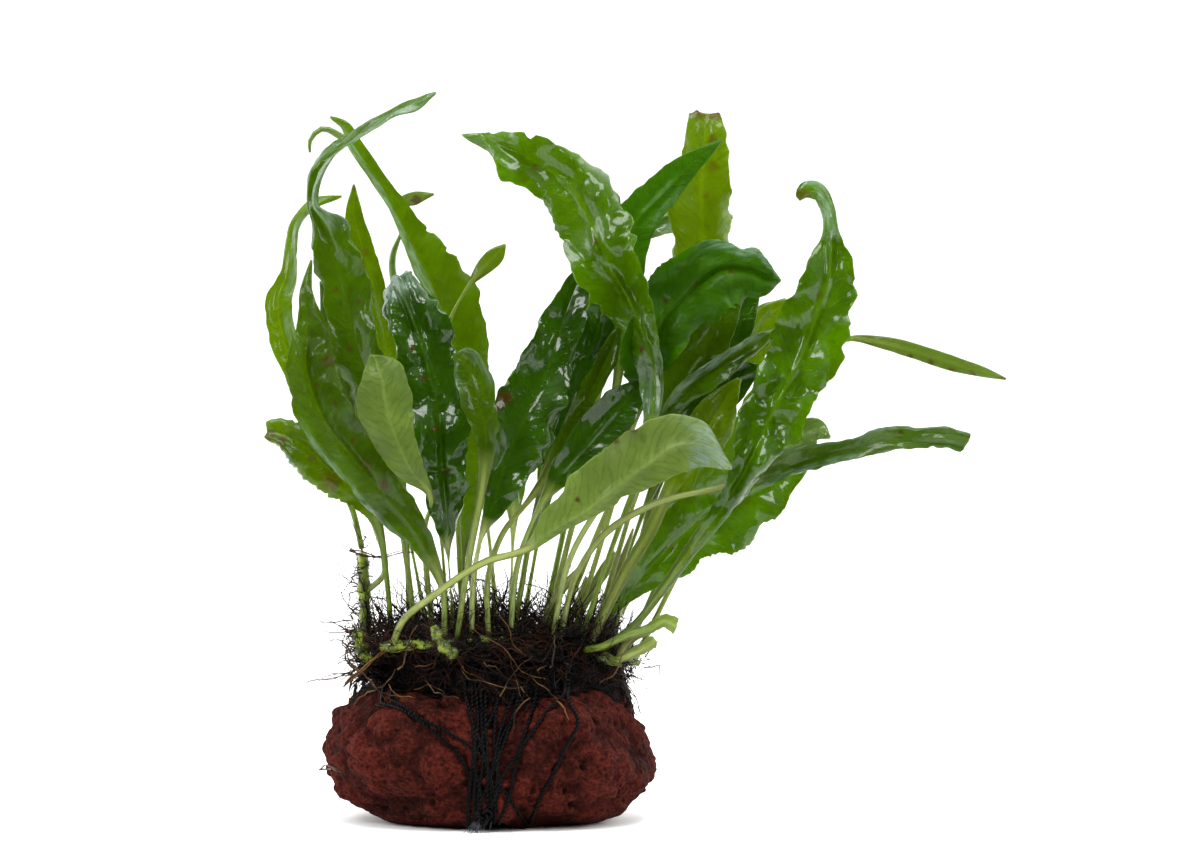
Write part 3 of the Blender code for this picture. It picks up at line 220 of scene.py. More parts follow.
        (28.5, 64, 0, 1, 1, 0), (42, 108, -12, 1, 1, 0), (50, 138, -22, 2.4, 1.5, 0),
        (58, 166, -27, 12.5, 9, 0),
        (68, 179, -27, 13.5, 12.5, 0), (78, 187.5, -26, 11.5, 13.5, 0), (88, 187, -25, 8, 11, 0),
        (94, 184.5, -24, 4.5, 6.5, 0),
        (99, 183, -23, 0.5, 0.5, 0)), ruffle=0.11, teeth=0.03),
    "leaf_right_inner": Frond(Leaf.MID, "rhizome_right_back", (
        (36, 63, 1, 1, 1, 0), (42, 84, 1, 1, 1, 0), (49, 108, -7, 1, 1, 0), (58, 136, -13, 4, 4, 0),
        (68, 154, -16, 8, 8, 0),
        (77, 167, -16, 7, 7, 0), (86, 179, -15, 0.6, 0.6, 0))),
    "leaf_right_dark_back": Frond(Leaf.DEEP, "rhizome_right_back", (
        (39, 63, 3, 1, 1, 0), (53, 106, 0, 1, 1, 0), (69, 141, -5, 5, 5, 0), (80, 159, -7, 6, 6, 0),
        (86, 172, -7, 5.5, 5, 0), (92, 182, -6, 0.8, 0.8, 0))),
    "leaf_right_yellow": Frond(Leaf.LIGHT, "rhizome_right_back", (
        (47, 59, 6, 1, 1, 0), (57, 80, 10, 1, 1, 0), (75, 138, 10, 5, 5, 0), (88, 160, 7, 7, 7, 0),
        (95, 170, 5, 6, 5, 0), (101, 177, 4, 0.8, 0.8, 0))),
    "leaf_right_folded": Frond(Leaf.MID, "rhizome_right_front", (
        (31, 61, -15, 1, 1, 0), (46, 104, -20, 1, 1, 0), (58, 132, -21, 2, 2, 0),
        (65, 144, -20, 4.5, 5, 0),
        (78, 154, -20, 5.5, 5, 0), (87, 160, -19, 4.5, 4, 0),
        (97, 166, -17, 0.8, 0.8, 0)), fold=(40, 30)),
    "leaf_right_shaded": Frond(Leaf.DEEP, "rhizome_right_back", (
        (42, 62, 4, 1, 1, 0), (53, 100, 4, 1, 1, 0), (62, 127, 1, 4, 4, 0), (72, 141, 0, 8, 8, 0),
        (82, 149, 0, 8, 7, 0), (93, 154, 0, 1, 1, 0))),
    "leaf_right_tall_glossy": Frond(Leaf.BRIGHT, "rhizome_right_front", (
        (37, 60, -14, 1.2, 1.2, 0), (49, 66, -20, 1.3, 1.3, 0), (60, 80, -26, 1.7, 1.7, 0),
        (74, 100, -30, 3, 3, 0),
        (84, 114, -32, 4.6, 5, 0), (91, 129, -33, 9.5, 8.5, 0), (98.5, 143, -33, 12, 11.6, 0),
        (107, 160, -33, 13, 13, 0),
        (112.5, 175, -33, 11, 11.8, 0), (115, 189, -33, 8, 8, 0), (115.5, 200, -32, 2.6, 3, 0),
        (114.8, 207.5, -30, 2.6, 2.4, 0), (111.3, 213.6, -27, 3.4, 3.2, 0),
        (106.8, 213.2, -25, 2.4, 3, 0), (104.8, 210.8, -24, 1, 1.2, 0)), fold=(18, 10), ruffle=0.08),
    "leaf_far_right_thin": Frond(Leaf.MID, "rhizome_right_back", (
        (50, 57, 7, 0.9, 0.9, 0), (70, 94, 12, 0.9, 0.9, 0), (96, 132, 12, 0.9, 0.9, 0),
        (112, 156, -2, 0.9, 0.9, 0),
        (123, 163.6, -14, 1, 1, 0), (134, 162, -18, 2.2, 2.2, 0), (146, 158.5, -19, 2.8, 2.6, 0),
        (159, 154.5, -20, 2.5, 2.5, 0),
        (169, 151.8, -20, 1.6, 1.6, 0), (175.5, 149.8, -20, 0.4, 0.4, 0)), ruffle=0),
    "leaf_far_right_folded": Frond(Leaf.MID, "rhizome_right_front", (
        (24, 62, -17, 1, 1, 0), (30, 84, -20, 1, 1, 0), (38, 96, -22, 1.2, 1.2, 0),
        (55, 107, -25, 1.2, 1.2, 0),
        (78, 113, -24, 1.3, 1.3, 0), (91, 116, -23, 3, 3, 0), (103, 121, -22, 6, 4.4, 0),
        (122, 125.8, -21, 4.6, 4.4, 0), (136, 129, -20, 5, 4.6, 0), (146, 130, -19.5, 3.8, 3.8, 0),
        (155, 129.6, -19, 4.6, 4.4, 0), (162, 127.5, -18, 4.2, 4.8, 0)), fold=(20, 36),
        ruffle=0.13),
    "leaf_right_low_wide": Frond(Leaf.BRIGHT, "rhizome_right_back", (
        (32, 61, -3, 1.2, 1.2, 0), (46, 76, -5, 4, 3, 0), (58, 90, -7, 9, 9.5, 0),
        (70, 101, -8, 10.5, 14.5, 0),
        (81, 108, -9, 10.5, 15, 0), (91, 113, -9, 8.5, 12, 0), (100, 117, -9, 6, 7, 0),
        (108, 119, -9, 0.8, 0.8, 0)), ruffle=0.12, teeth=0.05),
    "leaf_right_flat_stalk": Frond(Leaf.LIGHT, "rhizome_right_front", (
        (34, 61, -12, 1.4, 1.4, 0), (46, 84, -14, 2, 2, 0), (55, 99, -15, 2.3, 2.3, 0),
        (61, 112, -15, 2.5, 2.5, 0),
        (67, 124, -14, 5, 6, 0), (74, 134, -13, 8, 9, 0), (80, 143, -12, 5, 5, 0),
        (85, 150, -11, 0.8, 0.8, 0))),
    "leaf_right_back_glossy": Frond(Leaf.GREY, "rhizome_back", (
        (38, 62, 15, 1, 1, 0), (54, 84, 18, 1, 1, 0), (78, 110, 18, 1.2, 1.2, 0), (95, 123, 16, 5, 5, 0),
        (106, 130, 12, 5.5, 5, 0), (111.5, 132.5, 8, 4, 4, 0), (116, 130, 6, 0.6, 0.6, 0))),
    "leaf_centre_olive": Frond(Leaf.DEEP, "rhizome_middle", (
        (8, 67, -8, 1, 1, 0), (11, 79, -10, 1, 1, 0), (13, 91, -11, 1, 1, 0), (22, 125, -11, 3, 3, 0),
        (30, 150, -12, 7, 7.5, 0), (36, 166, -12, 7.5, 6.5, 0), (39, 176, -10, 4.5, 3.8, 0),
        (42, 185, -9, 0.6, 0.6, 0))),
    "leaf_centre_narrow": Frond(Leaf.MID, "rhizome_front", (
        (-1, 65, -21, 1, 1, 0), (0, 84, -23, 1, 1, 0), (5, 98, -23, 1, 1, 0), (13, 108, -22, 1, 1, 0),
        (19, 116, -21, 2, 2, 0), (25, 127, -20, 3.5, 3.5, 0), (33, 144, -19, 4.2, 4.2, 0),
        (40, 158, -19, 4, 4, 0),
        (45, 169, -19, 0.6, 0.6, 0)), fold=(34, 34)),
    "leaf_centre_shaded": Frond(Leaf.DEEP, "rhizome_front", (
        (7, 65, -18, 1, 1, 0), (10, 88, -22, 1, 1, 0), (18, 108, -26, 1.2, 1.2, 0),
        (29, 123, -27, 6, 6, 0),
        (38, 134, -27, 7.5, 7.5, 0), (47, 143, -27, 6.5, 6, 0), (54, 150, -26, 0.6, 0.6, 0))),
    "leaf_rear_centre": Frond(Leaf.MID, "rhizome_back", (
        (11, 69, 16, 1, 1, 0), (17, 98, 26, 1, 1, 0), (23, 134, 37, 7, 7, 0), (31, 164, 44, 8.5, 8.5, 0),
        (39, 190, 48, 6.5, 6.5, 0), (45, 204, 50, 0.6, 0.6, 0))),
    "leaf_rear_middle": Frond(Leaf.MID, "rhizome_back", (
        (7, 69, 17, 1, 1, 0), (8, 98, 34, 1, 1, 0), (9, 126, 48, 7, 7, 0), (13, 146, 57, 8, 8, 0),
        (19, 164, 62, 0.6, 0.6, 0))),
    "leaf_rear_left": Frond(Leaf.MID, "rhizome_back", (
        (-22, 67, 13, 1, 1, 0), (-28, 98, 28, 1, 1, 0), (-37, 128, 42, 7, 7, 0),
        (-45, 152, 50, 7.5, 7.5, 0),
        (-52, 174, 54, 0.6, 0.6, 0))),
    "leaf_rear_right": Frond(Leaf.MID, "rhizome_back", (
        (33, 64, 16, 1, 1, 0), (50, 88, 28, 1, 1, 0), (69, 110, 40, 7, 7, 0), (84, 128, 48, 8, 8, 0),
        (96, 143, 52, 0.6, 0.6, 0))),
}  # fmt: skip

# Cut or broken stalks, written as the leaves are, with a blunt end
STUBS = {
    "stub_cut_long": Frond(Leaf.STALK, "rhizome_right_front", (
        (30, 57, -16, 1.2, 1.2, 0), (38, 59, -24, 1.2, 1.2, 0), (47, 63, -28, 1.5, 1.5, 0),
        (54, 65, -29, 1.8, 1.8, 0),
        (60, 68, -30, 2.4, 2.4, 0), (64, 66, -30, 2.8, 2.8, 0)), ruffle=0, teeth=0.9),
    "stub_cut_low": Frond(Leaf.STALK, "rhizome_right_front", (
        (40, 54, -14, 1, 1, 0), (45, 55, -22, 1.4, 1.4, 0), (51, 58, -24, 2, 2, 0),
        (56, 61, -24, 2.4, 2.4, 0)), ruffle=0, teeth=0.9),
    "stub_spike": Frond(Leaf.BROWN, "rhizome_right_back", (
        (45, 60, 5, 1, 1, 0), (42, 79, 12, 1.1, 1.1, 0), (46, 90, 9, 1.2, 1.2, 0),
        (49, 99, 9, 0.4, 0.4, 0)), ruffle=0),
    "stub_brown_tip": Frond(Leaf.BROWN, "rhizome_middle", (
        (18, 66, -7, 1, 1, 0), (21, 73, -8, 1.2, 1.2, 0), (27, 81, -9, 1.4, 1.4, 0),
        (33, 88, -9, 0.4, 0.4, 0)), ruffle=0),
    "stub_pale": Frond(Leaf.STALK, "rhizome_back", (
        (29, 65, 14, 1, 1, 0), (34, 76, 16, 1.4, 1.4, 0), (40, 86, 17, 2, 2, 0),
        (43, 91, 17, 1, 1, 0)), ruffle=0),
    "stub_short": Frond(Leaf.STALK, "rhizome_back", (
        (26, 66, 14, 1, 1, 0), (31, 75, 19, 1.6, 1.6, 0), (35, 82, 20, 2.2, 2.2, 0)), ruffle=0),
    "stub_ragged": Frond(Leaf.BROWN, "rhizome_right_front", (
        (43, 54, -12, 1, 1, 0), (46, 59, -15, 1.6, 1.6, 0), (50, 63, -16, 1.8, 1.8, 0),
        (54, 64, -16, 1.4, 1.4, 0)), ruffle=0),
}  # fmt: skip

def linear(hex_colour: str) -> tuple[float, float, float, float]:
    """An sRGB hex colour as linear RGBA.

    Args:
        hex_colour: the colour, such as "#4a8a0c".

    Returns:
        Red, green, blue and 1, each from 0 to 1.
    """
    parts = [int(hex_colour[i : i + 2], 16) / 255 for i in (1, 3, 5)]
    red, green, blue = (p / 12.92 if p <= 0.04045 else ((p + 0.055) / 1.055) ** 2.4 for p in parts)
    return red, green, blue, 1.0


def add_node(tree: bpy.types.NodeTree, kind: str, inputs: dict, **settings: object) -> bpy.types.Node:
    """Add a node with its settings and links.

    Args:
        tree: the material's node tree.
        kind: the node's type.
        inputs: a value, or another node's output, for each input by its name or number.
        settings: the node's own properties.

    Returns:
        The node.
    """
    made = tree.nodes.new(kind)
    for name, value in settings.items():
        setattr(made, name, value)
    for key, value in inputs.items():
        if isinstance(value, bpy.types.NodeSocket):
            tree.links.new(value, made.inputs[key])
        else:
            made.inputs[key].default_value = value
    return made


def new_material(name: str) -> tuple[bpy.types.Material, bpy.types.NodeTree, bpy.types.Node]:
    """An empty node material.

    Args:
        name: its name.

    Returns:
        The material, its node tree and its output node.
    """
    material = bpy.data.materials.new(name)
    material.use_nodes = True
    material.node_tree.nodes.clear()
    return material, material.node_tree, material.node_tree.nodes.new("ShaderNodeOutputMaterial")


def unit(vectors: np.ndarray) -> np.ndarray:
    """Vectors divided by their lengths."""
    return vectors / np.maximum(np.linalg.norm(vectors, axis=-1, keepdims=True), 1e-9)


def in_space(rows: np.ndarray) -> np.ndarray:
    """Written points in the row frame: x is across + 16, y is depth, z is up / cos 6 - depth tan 6.

    Args:
        rows: an array whose last axis starts with across, up and depth, in millimetres.

    Returns:
        The points in millimetres.
    """
    across, up, depth = (np.asarray(rows, float)[..., i] for i in range(3))
    height = up / math.cos(SIGHT_ELEVATION) - depth * math.tan(SIGHT_ELEVATION)
    return np.stack((across + ORIGIN_ACROSS, depth, height), axis=-1)


def as_written(points: np.ndarray) -> np.ndarray:
    """The (across, up) of points in space: the opposite of in_space, less the depth."""
    up = (points[..., 2] + points[..., 1] * math.tan(SIGHT_ELEVATION)) * math.cos(SIGHT_ELEVATION)
    return np.stack((points[..., 0] - ORIGIN_ACROSS, up), axis=-1)


def through(rows: np.ndarray, step: float) -> np.ndarray:
    """Rows joined by a cubic Hermite curve over the distance between them.

    With s from 0 to 1 in a span of length h, the curve is a(1+2s)(1-s)^2 + b s^2(3-2s)
    + a' h s(1-s)^2 - b' h s^2(1-s), where a' and b' are the slopes at its ends.

    Args:
        rows: what is joined, with the place in millimetres in the first three columns.
        step: the wished distance between points.

    Returns:
        The points, with as many columns as rows has.
    """
    rows = np.asarray(rows, float)
    lengths = np.linalg.norm(np.diff(rows[:, :3], axis=0), axis=1)
    at = np.concatenate(([0.0], np.cumsum(lengths)))
    slope = np.gradient(rows, at, axis=0)
    counts = np.clip(np.round(lengths / step), 1, 60).astype(int)
    span = np.repeat(np.arange(len(counts)), counts)
    s = (np.concatenate([np.arange(n) / n for n in counts]))[:, None]
    h = lengths[span][:, None]
    curve = (
        rows[span] * (1 + 2 * s) * (1 - s) ** 2
        + rows[span + 1] * s * s * (3 - 2 * s)
        + slope[span] * h * s * (1 - s) ** 2
        - slope[span + 1] * h * s * s * (1 - s)
    )
    return np.vstack((curve, rows[-1]))


@dataclass(frozen=True)
class Grain:
    """A smooth random field: random numbers on a cubic lattice, blended with s^2(3-2s) between."""

    seed: int
    side: int = 32

    def at(self, points: np.ndarray, size: float) -> np.ndarray:
        """The field from -1 to 1.

        Args:
            points: where, in millimetres.
            size: the lattice spacing in millimetres.

        Returns:
            One number for each point.
        """
        table = np.random.default_rng(self.seed).uniform(-1, 1, (self.side,) * 3)
        place = np.asarray(points, float) / size + 100.37
        low = np.floor(place).astype(int)
        share = place - low
        share = share * share * (3 - 2 * share)
        total = np.zeros(place.shape[:-1])
        for corner in np.ndindex(2, 2, 2):
            weight = np.prod(np.where(corner, share, 1 - share), axis=-1)
            total += weight * table[tuple(np.moveaxis((low + corner) % self.side, -1, 0))]
        return total

    def layered(self, points: np.ndarray, size: float, layers: int) -> np.ndarray:
        """The sum of the field at size, size / 2, size / 4 and so on, each half as strong.

        Args:
            points: where, in millimetres.
            size: the coarsest spacing.
            layers: how many.

        Returns:
            One number for each point.
        """
        return sum(self.at(points + 7.7 * n, size / 2**n) / 2**n for n in range(layers))

    def pits(self, points: np.ndarray, size: float) -> np.ndarray:
        """The distance to the nearest of random points, one in each lattice cell, in cells.

        Args:
            points: where, in millimetres.
            size: the cell size.

        Returns:
            0 at a random point, about 0.5 between them.
        """
        table = np.random.default_rng(self.seed).uniform(0, 1, (self.side,) * 3 + (3,))
        place = np.asarray(points, float) / size + 100.37
        low = np.floor(place).astype(int)
        nearest = np.full(place.shape[:-1], 9.0)
        for corner in np.ndindex(3, 3, 3):
            cell = low + np.array(corner) - 1
            heart = cell + table[tuple(np.moveaxis(cell % self.side, -1, 0))]
            nearest = np.minimum(nearest, np.linalg.norm(heart - place, axis=-1))
        return nearest


def bundle(
    name: str, rings: np.ndarray, material: bpy.types.Material,
    uv: np.ndarray | None = None, dress: np.ndarray | None = None,
) -> bpy.types.Object:  # fmt: skip
    """Closed bodies through rings of points, all in one piece that rides on the root.

    Each ring is joined to the next by four-sided faces, and the first and last ring are filled. The
    faces are turned outwards by the sign of the bodies' volume.

    Args:
        name: the piece's name.
        rings: points in millimetres, (bodies, rings, points round, 3).
        material: what it is made of.
        uv: a place on the surface for each point, (bodies, rings, points round, 2).
        dress: four numbers for each point, kept as the attribute "dress".

    Returns:
        The piece.
    """
    bodies, count, sides = rings.shape[:3]
    number = np.arange(bodies * count * sides).reshape(bodies, count, sides)
    after = np.roll(number, -1, axis=2)
    walls = np.stack((number[:, :-1], after[:, :-1], after[:, 1:], number[:, 1:]), axis=-1).reshape(-1, 4)
    ends = np.concatenate((number[:, 0, ::-1], number[:, -1]))
    a, b, c, d = (rings.reshape(-1, 3)[walls[:, i]] for i in range(4))
    volume = (np.cross(a, b) * c).sum() + (np.cross(a, c) * d).sum()
    if volume < 0:
        walls, ends = walls[:, ::-1], ends[:, ::-1]
    corners = np.concatenate((walls.ravel(), ends.ravel()))
    sizes = np.concatenate((np.full(len(walls), 4), np.full(len(ends), sides)))
    mesh = bpy.data.meshes.new(name)
    mesh.vertices.add(rings.size // 3)
    mesh.vertices.foreach_set("co", (rings * MM).astype(np.float32).ravel())
    mesh.loops.add(len(corners))
    mesh.loops.foreach_set("vertex_index", corners.astype(np.int32))
    mesh.polygons.add(len(sizes))
    mesh.polygons.foreach_set("loop_start", (np.cumsum(sizes) - sizes).astype(np.int32))
    mesh.update(calc_edges=True)
    if uv is not None:
        layer = mesh.uv_layers.new(name="lamina")
        layer.uv.foreach_set("vector", uv.reshape(-1, 2)[corners].astype(np.float32).ravel())
    if dress is not None:
        paint = mesh.attributes.new("dress", "FLOAT_COLOR", "POINT")
        paint.data.foreach_set("color", dress.astype(np.float32).ravel())
    mesh.shade_smooth()
    piece = bpy.data.objects.new(name, mesh)
    mesh.materials.append(material)
    bpy.context.scene.collection.objects.link(piece)
    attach(piece, "root")
    LOG.info("%s: %d faces", name, len(sizes))
    return piece


def frames(path: np.ndarray) -> tuple[np.ndarray, np.ndarray]:
    """Two directions square to paths and to each other, that turn as little as may be.

    The first is the path's mean heading crossed with the heading at each point, or a fixed
    direction where the path is straight, made square to the path.

    Args:
        path: points, (..., points, 3).

    Returns:
        The two directions at each point.
    """
    along = unit(np.gradient(path, axis=-2))
    spread = np.abs(along).mean(axis=-2)
    fixed = np.eye(3)[np.argmin(spread, axis=-1)][..., None, :] + 0.01
    first = unit(fixed - (along * fixed).sum(-1, keepdims=True) * along)
    return first, np.cross(along, first)


def tubes(path: np.ndarray, radius: np.ndarray, sides: int) -> np.ndarray:
    """Rings round paths: path + radius (first cos a + second sin a), with a even round the ring.

    Args:
        path: points in millimetres, (bodies, points, 3).
        radius: the radius at each point, (bodies, points).
        sides: points in each ring.

    Returns:
        The rings, (bodies, points, sides, 3).
    """
    first, second = frames(path)
    angle = np.arange(sides) * 2 * math.pi / sides
    across = first[..., None, :] * np.cos(angle)[:, None] + second[..., None, :] * np.sin(angle)[:, None]
    return path[..., None, :] + radius[..., None, None] * across


@dataclass(frozen=True)
class LeafFinish:
    """Java fern leaf: a thin living blade with a waxy cuticle, under a film of water.

    The cuticle is smooth but puckered, so that wet patches mirror the lights in small pieces; the
    flesh lets light through and glows yellow-green from behind, darker over the side veins.
    """

    slot: Leaf
    dark: str
    light: str
    rib: str
    flesh: str
    roughness: float = 0.2
    film: float = 0.6
    through: float = 0.55
    blotch_mm: float = 11.0
    vein_mm: float = 3.4
    veining: float = 0.25
    stalk: str = "#7f9a30"
    brown: str = "#4a2410"
    # Colour of the painted sheen on wet folds, standing in for the lights' reflection
    sheen_colour: str = "#84998e"
    pale_stalk: str = "#aebb6a"
    # Colour of the stalk's own base streaks and of the painted shade down its sides
    stalk_streak_and_shade: str = "#2c2c0c"
    speck: str = "#2e2406"
    body_gloss: float = 0.26
    name: str = ""

    def material(self) -> bpy.types.Material:
        """The material, made on first use and named for its slot or for its own name.

        Returns:
            The material.
        """
        name = f"fern_cuticle_{self.name or self.slot.value}"
        if name in bpy.data.materials:
            return bpy.data.materials[name]
        material, tree, output = new_material(name)
        dress = add_node(tree, "ShaderNodeAttribute", {}, attribute_name="dress")
        parts = add_node(tree, "ShaderNodeSeparateColor", {0: dress.outputs["Color"]})
        # The second number is brown damage where it is positive and painted sheen where it is negative
        off_rib, damage_and_sheen, tone = (parts.outputs[i] for i in range(3))
        lamina = add_node(tree, "ShaderNodeUVMap", {}, uv_map="lamina").outputs[0]
        blotch = add_node(tree, "ShaderNodeTexNoise", {"Vector": lamina, "Scale": 100 / self.blotch_mm,
                          "Detail": 4.0, "Roughness": 0.65})  # fmt: skip
        blotch = add_node(tree, "ShaderNodeMapRange", {0: blotch.outputs[0], 1: 0.4, 2: 0.62})
        place = add_node(tree, "ShaderNodeSeparateXYZ", {0: lamina})
        lean = add_node(tree, "ShaderNodeMath", {0: place.outputs[1]}, operation="ABSOLUTE")
        lean = add_node(tree, "ShaderNodeMath", {0: lean.outputs[0], 1: -0.9, 2: place.outputs[0]},
                        operation="MULTIPLY_ADD")  # fmt: skip
        lean = add_node(tree, "ShaderNodeCombineXYZ", {0: lean.outputs[0], 1: place.outputs[1]})
        veins = add_node(tree, "ShaderNodeTexWave", {"Vector": lean.outputs[0], "Scale": 31.4 / self.vein_mm,
                         "Distortion": 9.0, "Detail": 3.0, "Detail Scale": 2.0})  # fmt: skip
        veins = add_node(tree, "ShaderNodeMapRange", {0: veins.outputs[1], 1: 0.78, 2: 1.0})
        green = add_node(tree, "ShaderNodeMix", {0: blotch.outputs[0], 6: linear(self.dark),
                         7: linear(self.light)}, data_type="RGBA")  # fmt: skip
        toned = add_node(tree, "ShaderNodeMix", {0: tone, 6: green.outputs[2], 7: linear(self.rib)},
                         data_type="RGBA")  # fmt: skip
        faint = add_node(tree, "ShaderNodeMath", {0: veins.outputs[0], 1: self.veining}, operation="MULTIPLY")
        veined = add_node(tree, "ShaderNodeMix", {0: faint.outputs[0], 6: toned.outputs[2],
                          7: linear(self.dark)}, data_type="RGBA")  # fmt: skip
        rib = add_node(tree, "ShaderNodeMapRange", {0: off_rib, 1: 0.02, 2: 0.1, 3: 0.45, 4: 0.0})
        rim = add_node(tree, "ShaderNodeMapRange", {0: off_rib, 1: 0.93, 2: 1.0, 3: 0.0, 4: 0.4})
        marked = add_node(tree, "ShaderNodeMath", {0: rib.outputs[0], 1: rim.outputs[0]}, operation="ADD")
        ribbed = add_node(tree, "ShaderNodeMix", {0: marked.outputs[0], 6: veined.outputs[2],
                          7: linear(self.rib)}, data_type="RGBA")  # fmt: skip
        paler = add_node(tree, "ShaderNodeMapRange", {0: tone, 1: 0.06, 2: 0.3})
        stalk = add_node(tree, "ShaderNodeMix", {0: paler.outputs[0], 6: linear(self.stalk),
                         7: linear(self.pale_stalk)}, data_type="RGBA")  # fmt: skip
        stalked = add_node(tree, "ShaderNodeMix", {0: dress.outputs["Alpha"], 6: ribbed.outputs[2],
                           7: stalk.outputs[2]}, data_type="RGBA")  # fmt: skip
        streaks = add_node(tree, "ShaderNodeVectorMath", {0: lamina, 1: (0.16, 1.0, 1.0)}, operation="MULTIPLY")
        streaks = add_node(tree, "ShaderNodeTexNoise", {"Vector": streaks.outputs[0], "Scale": 100 / 0.9,
                           "Detail": 3.0})  # fmt: skip
        sheen = add_node(tree, "ShaderNodeMapRange", {0: streaks.outputs[0], 1: 0.4, 2: 0.6, 3: 0.15, 4: 1.0})
        streaks = add_node(tree, "ShaderNodeMapRange", {0: streaks.outputs[0], 1: 0.42, 2: 0.7, 3: 0.0, 4: 0.75})
        age = add_node(tree, "ShaderNodeMapRange", {0: place.outputs[0], 1: 0.05, 2: 0.55, 3: 1.0, 4: 0.15})
        aged_and_shaded = add_node(tree, "ShaderNodeMath", {0: streaks.outputs[0], 1: age.outputs[0]}, operation="MULTIPLY")
        # Painted shade: the stalk is darkened towards its sides, where its round surface turns from the light; the
        # streaks near its base are its own ageing
        flank = add_node(tree, "ShaderNodeMath", {0: place.outputs[1]}, operation="ABSOLUTE")
        flank = add_node(tree, "ShaderNodeMapRange", {0: flank.outputs[0], 1: 0.004, 2: 0.0105, 3: 0.0, 4: 0.7})
        aged_and_shaded = add_node(tree, "ShaderNodeMath", {0: aged_and_shaded.outputs[0], 1: flank.outputs[0]}, operation="MAXIMUM")
        aged_and_shaded = add_node(tree, "ShaderNodeMath", {0: aged_and_shaded.outputs[0], 1: dress.outputs["Alpha"]},
                        operation="MULTIPLY")  # fmt: skip
        stalked = add_node(tree, "ShaderNodeMix", {0: aged_and_shaded.outputs[0], 6: stalked.outputs[2],
                           7: linear(self.stalk_streak_and_shade)}, data_type="RGBA")  # fmt: skip
        mottle = add_node(tree, "ShaderNodeTexNoise", {"Vector": lamina, "Scale": 100 / 1.5, "Detail": 4.0})
        specks = add_node(tree, "ShaderNodeTexNoise", {"Vector": lamina, "Scale": 100 / 2.6, "Detail": 5.0,
                          "Roughness": 0.7, "Distortion": 1.5})  # fmt: skip
        specks = add_node(tree, "ShaderNodeMapRange", {0: specks.outputs[0], 1: 0.69, 2: 0.76, 3: 0.0, 4: 0.7})
        stalked = add_node(tree, "ShaderNodeMix", {0: specks.outputs[0], 6: stalked.outputs[2],
                           7: linear(self.speck)}, data_type="RGBA")  # fmt: skip
        # Painted sheen: a negative second dress number paints streaky silver-grey where wet folds would mirror the
        # lights
        sheen_share = add_node(tree, "ShaderNodeMapRange", {0: damage_and_sheen, 1: -1.0, 2: 0.0, 3: 1.0, 4: 0.0})
        sheen = add_node(tree, "ShaderNodeMath", {0: sheen_share.outputs[0], 1: sheen.outputs[0]}, operation="MULTIPLY")
        stalked = add_node(tree, "ShaderNodeMix", {0: sheen.outputs[0], 6: stalked.outputs[2],
                           7: linear(self.sheen_colour)}, data_type="RGBA")  # fmt: skip
        patchy = add_node(tree, "ShaderNodeMath", {0: damage_and_sheen, 1: mottle.outputs[0]}, operation="ADD")
        patchy = add_node(tree, "ShaderNodeMapRange", {0: patchy.outputs[0], 1: 0.9, 2: 1.35})
        colour = add_node(tree, "ShaderNodeMix", {0: patchy.outputs[0], 6: stalked.outputs[2],
                          7: linear(self.brown)}, data_type="RGBA").outputs[2]  # fmt: skip
        skin = add_node(tree, "ShaderNodeTexNoise", {"Vector": lamina, "Scale": 100 / 1.3, "Detail": 3.0})
        puckers = add_node(tree, "ShaderNodeTexNoise", {"Vector": lamina, "Scale": 100 / 5.0, "Detail": 2.5})
        raised = add_node(tree, "ShaderNodeBump", {"Strength": 1.0, "Distance": 0.00052,
                          "Height": puckers.outputs[0]})  # fmt: skip
        raised = add_node(tree, "ShaderNodeBump", {"Strength": 0.6, "Distance": 0.00016,
                          "Height": skin.outputs[0], "Normal": raised.outputs[0]})  # fmt: skip
        raised = add_node(tree, "ShaderNodeBump", {"Strength": 0.35, "Distance": 0.0003,
                          "Height": veins.outputs[0], "Normal": raised.outputs[0]})  # fmt: skip
        matt = add_node(tree, "ShaderNodeMapRange", {0: mottle.outputs[0], 1: 0.35, 2: 0.65,
                        3: self.roughness, 4: self.roughness + 0.09})  # fmt: skip
        surface = add_node(tree, "ShaderNodeBsdfPrincipled", {
            "Base Color": colour, "Roughness": matt.outputs[0], "IOR": 1.42,
            "Specular IOR Level": self.body_gloss, "Coat Weight": self.film, "Coat Roughness": 0.085,
            "Coat IOR": 1.45, "Normal": raised.outputs[0]})  # fmt: skip
        lit = add_node(tree, "ShaderNodeMapRange", {0: dress.outputs["Alpha"], 3: 0.62, 4: 0.1})
        glow = add_node(tree, "ShaderNodeMix", {0: lit.outputs[0], 6: colour, 7: linear(self.flesh)},
                        data_type="RGBA")  # fmt: skip
        flesh = add_node(tree, "ShaderNodeBsdfTranslucent", {"Color": glow.outputs[2],
                         "Normal": raised.outputs[0]})  # fmt: skip
        share = add_node(tree, "ShaderNodeMixShader", {0: self.through, 1: surface.outputs[0],
                         2: flesh.outputs[0]})  # fmt: skip
        tree.links.new(share.outputs[0], output.inputs[0])
        return material


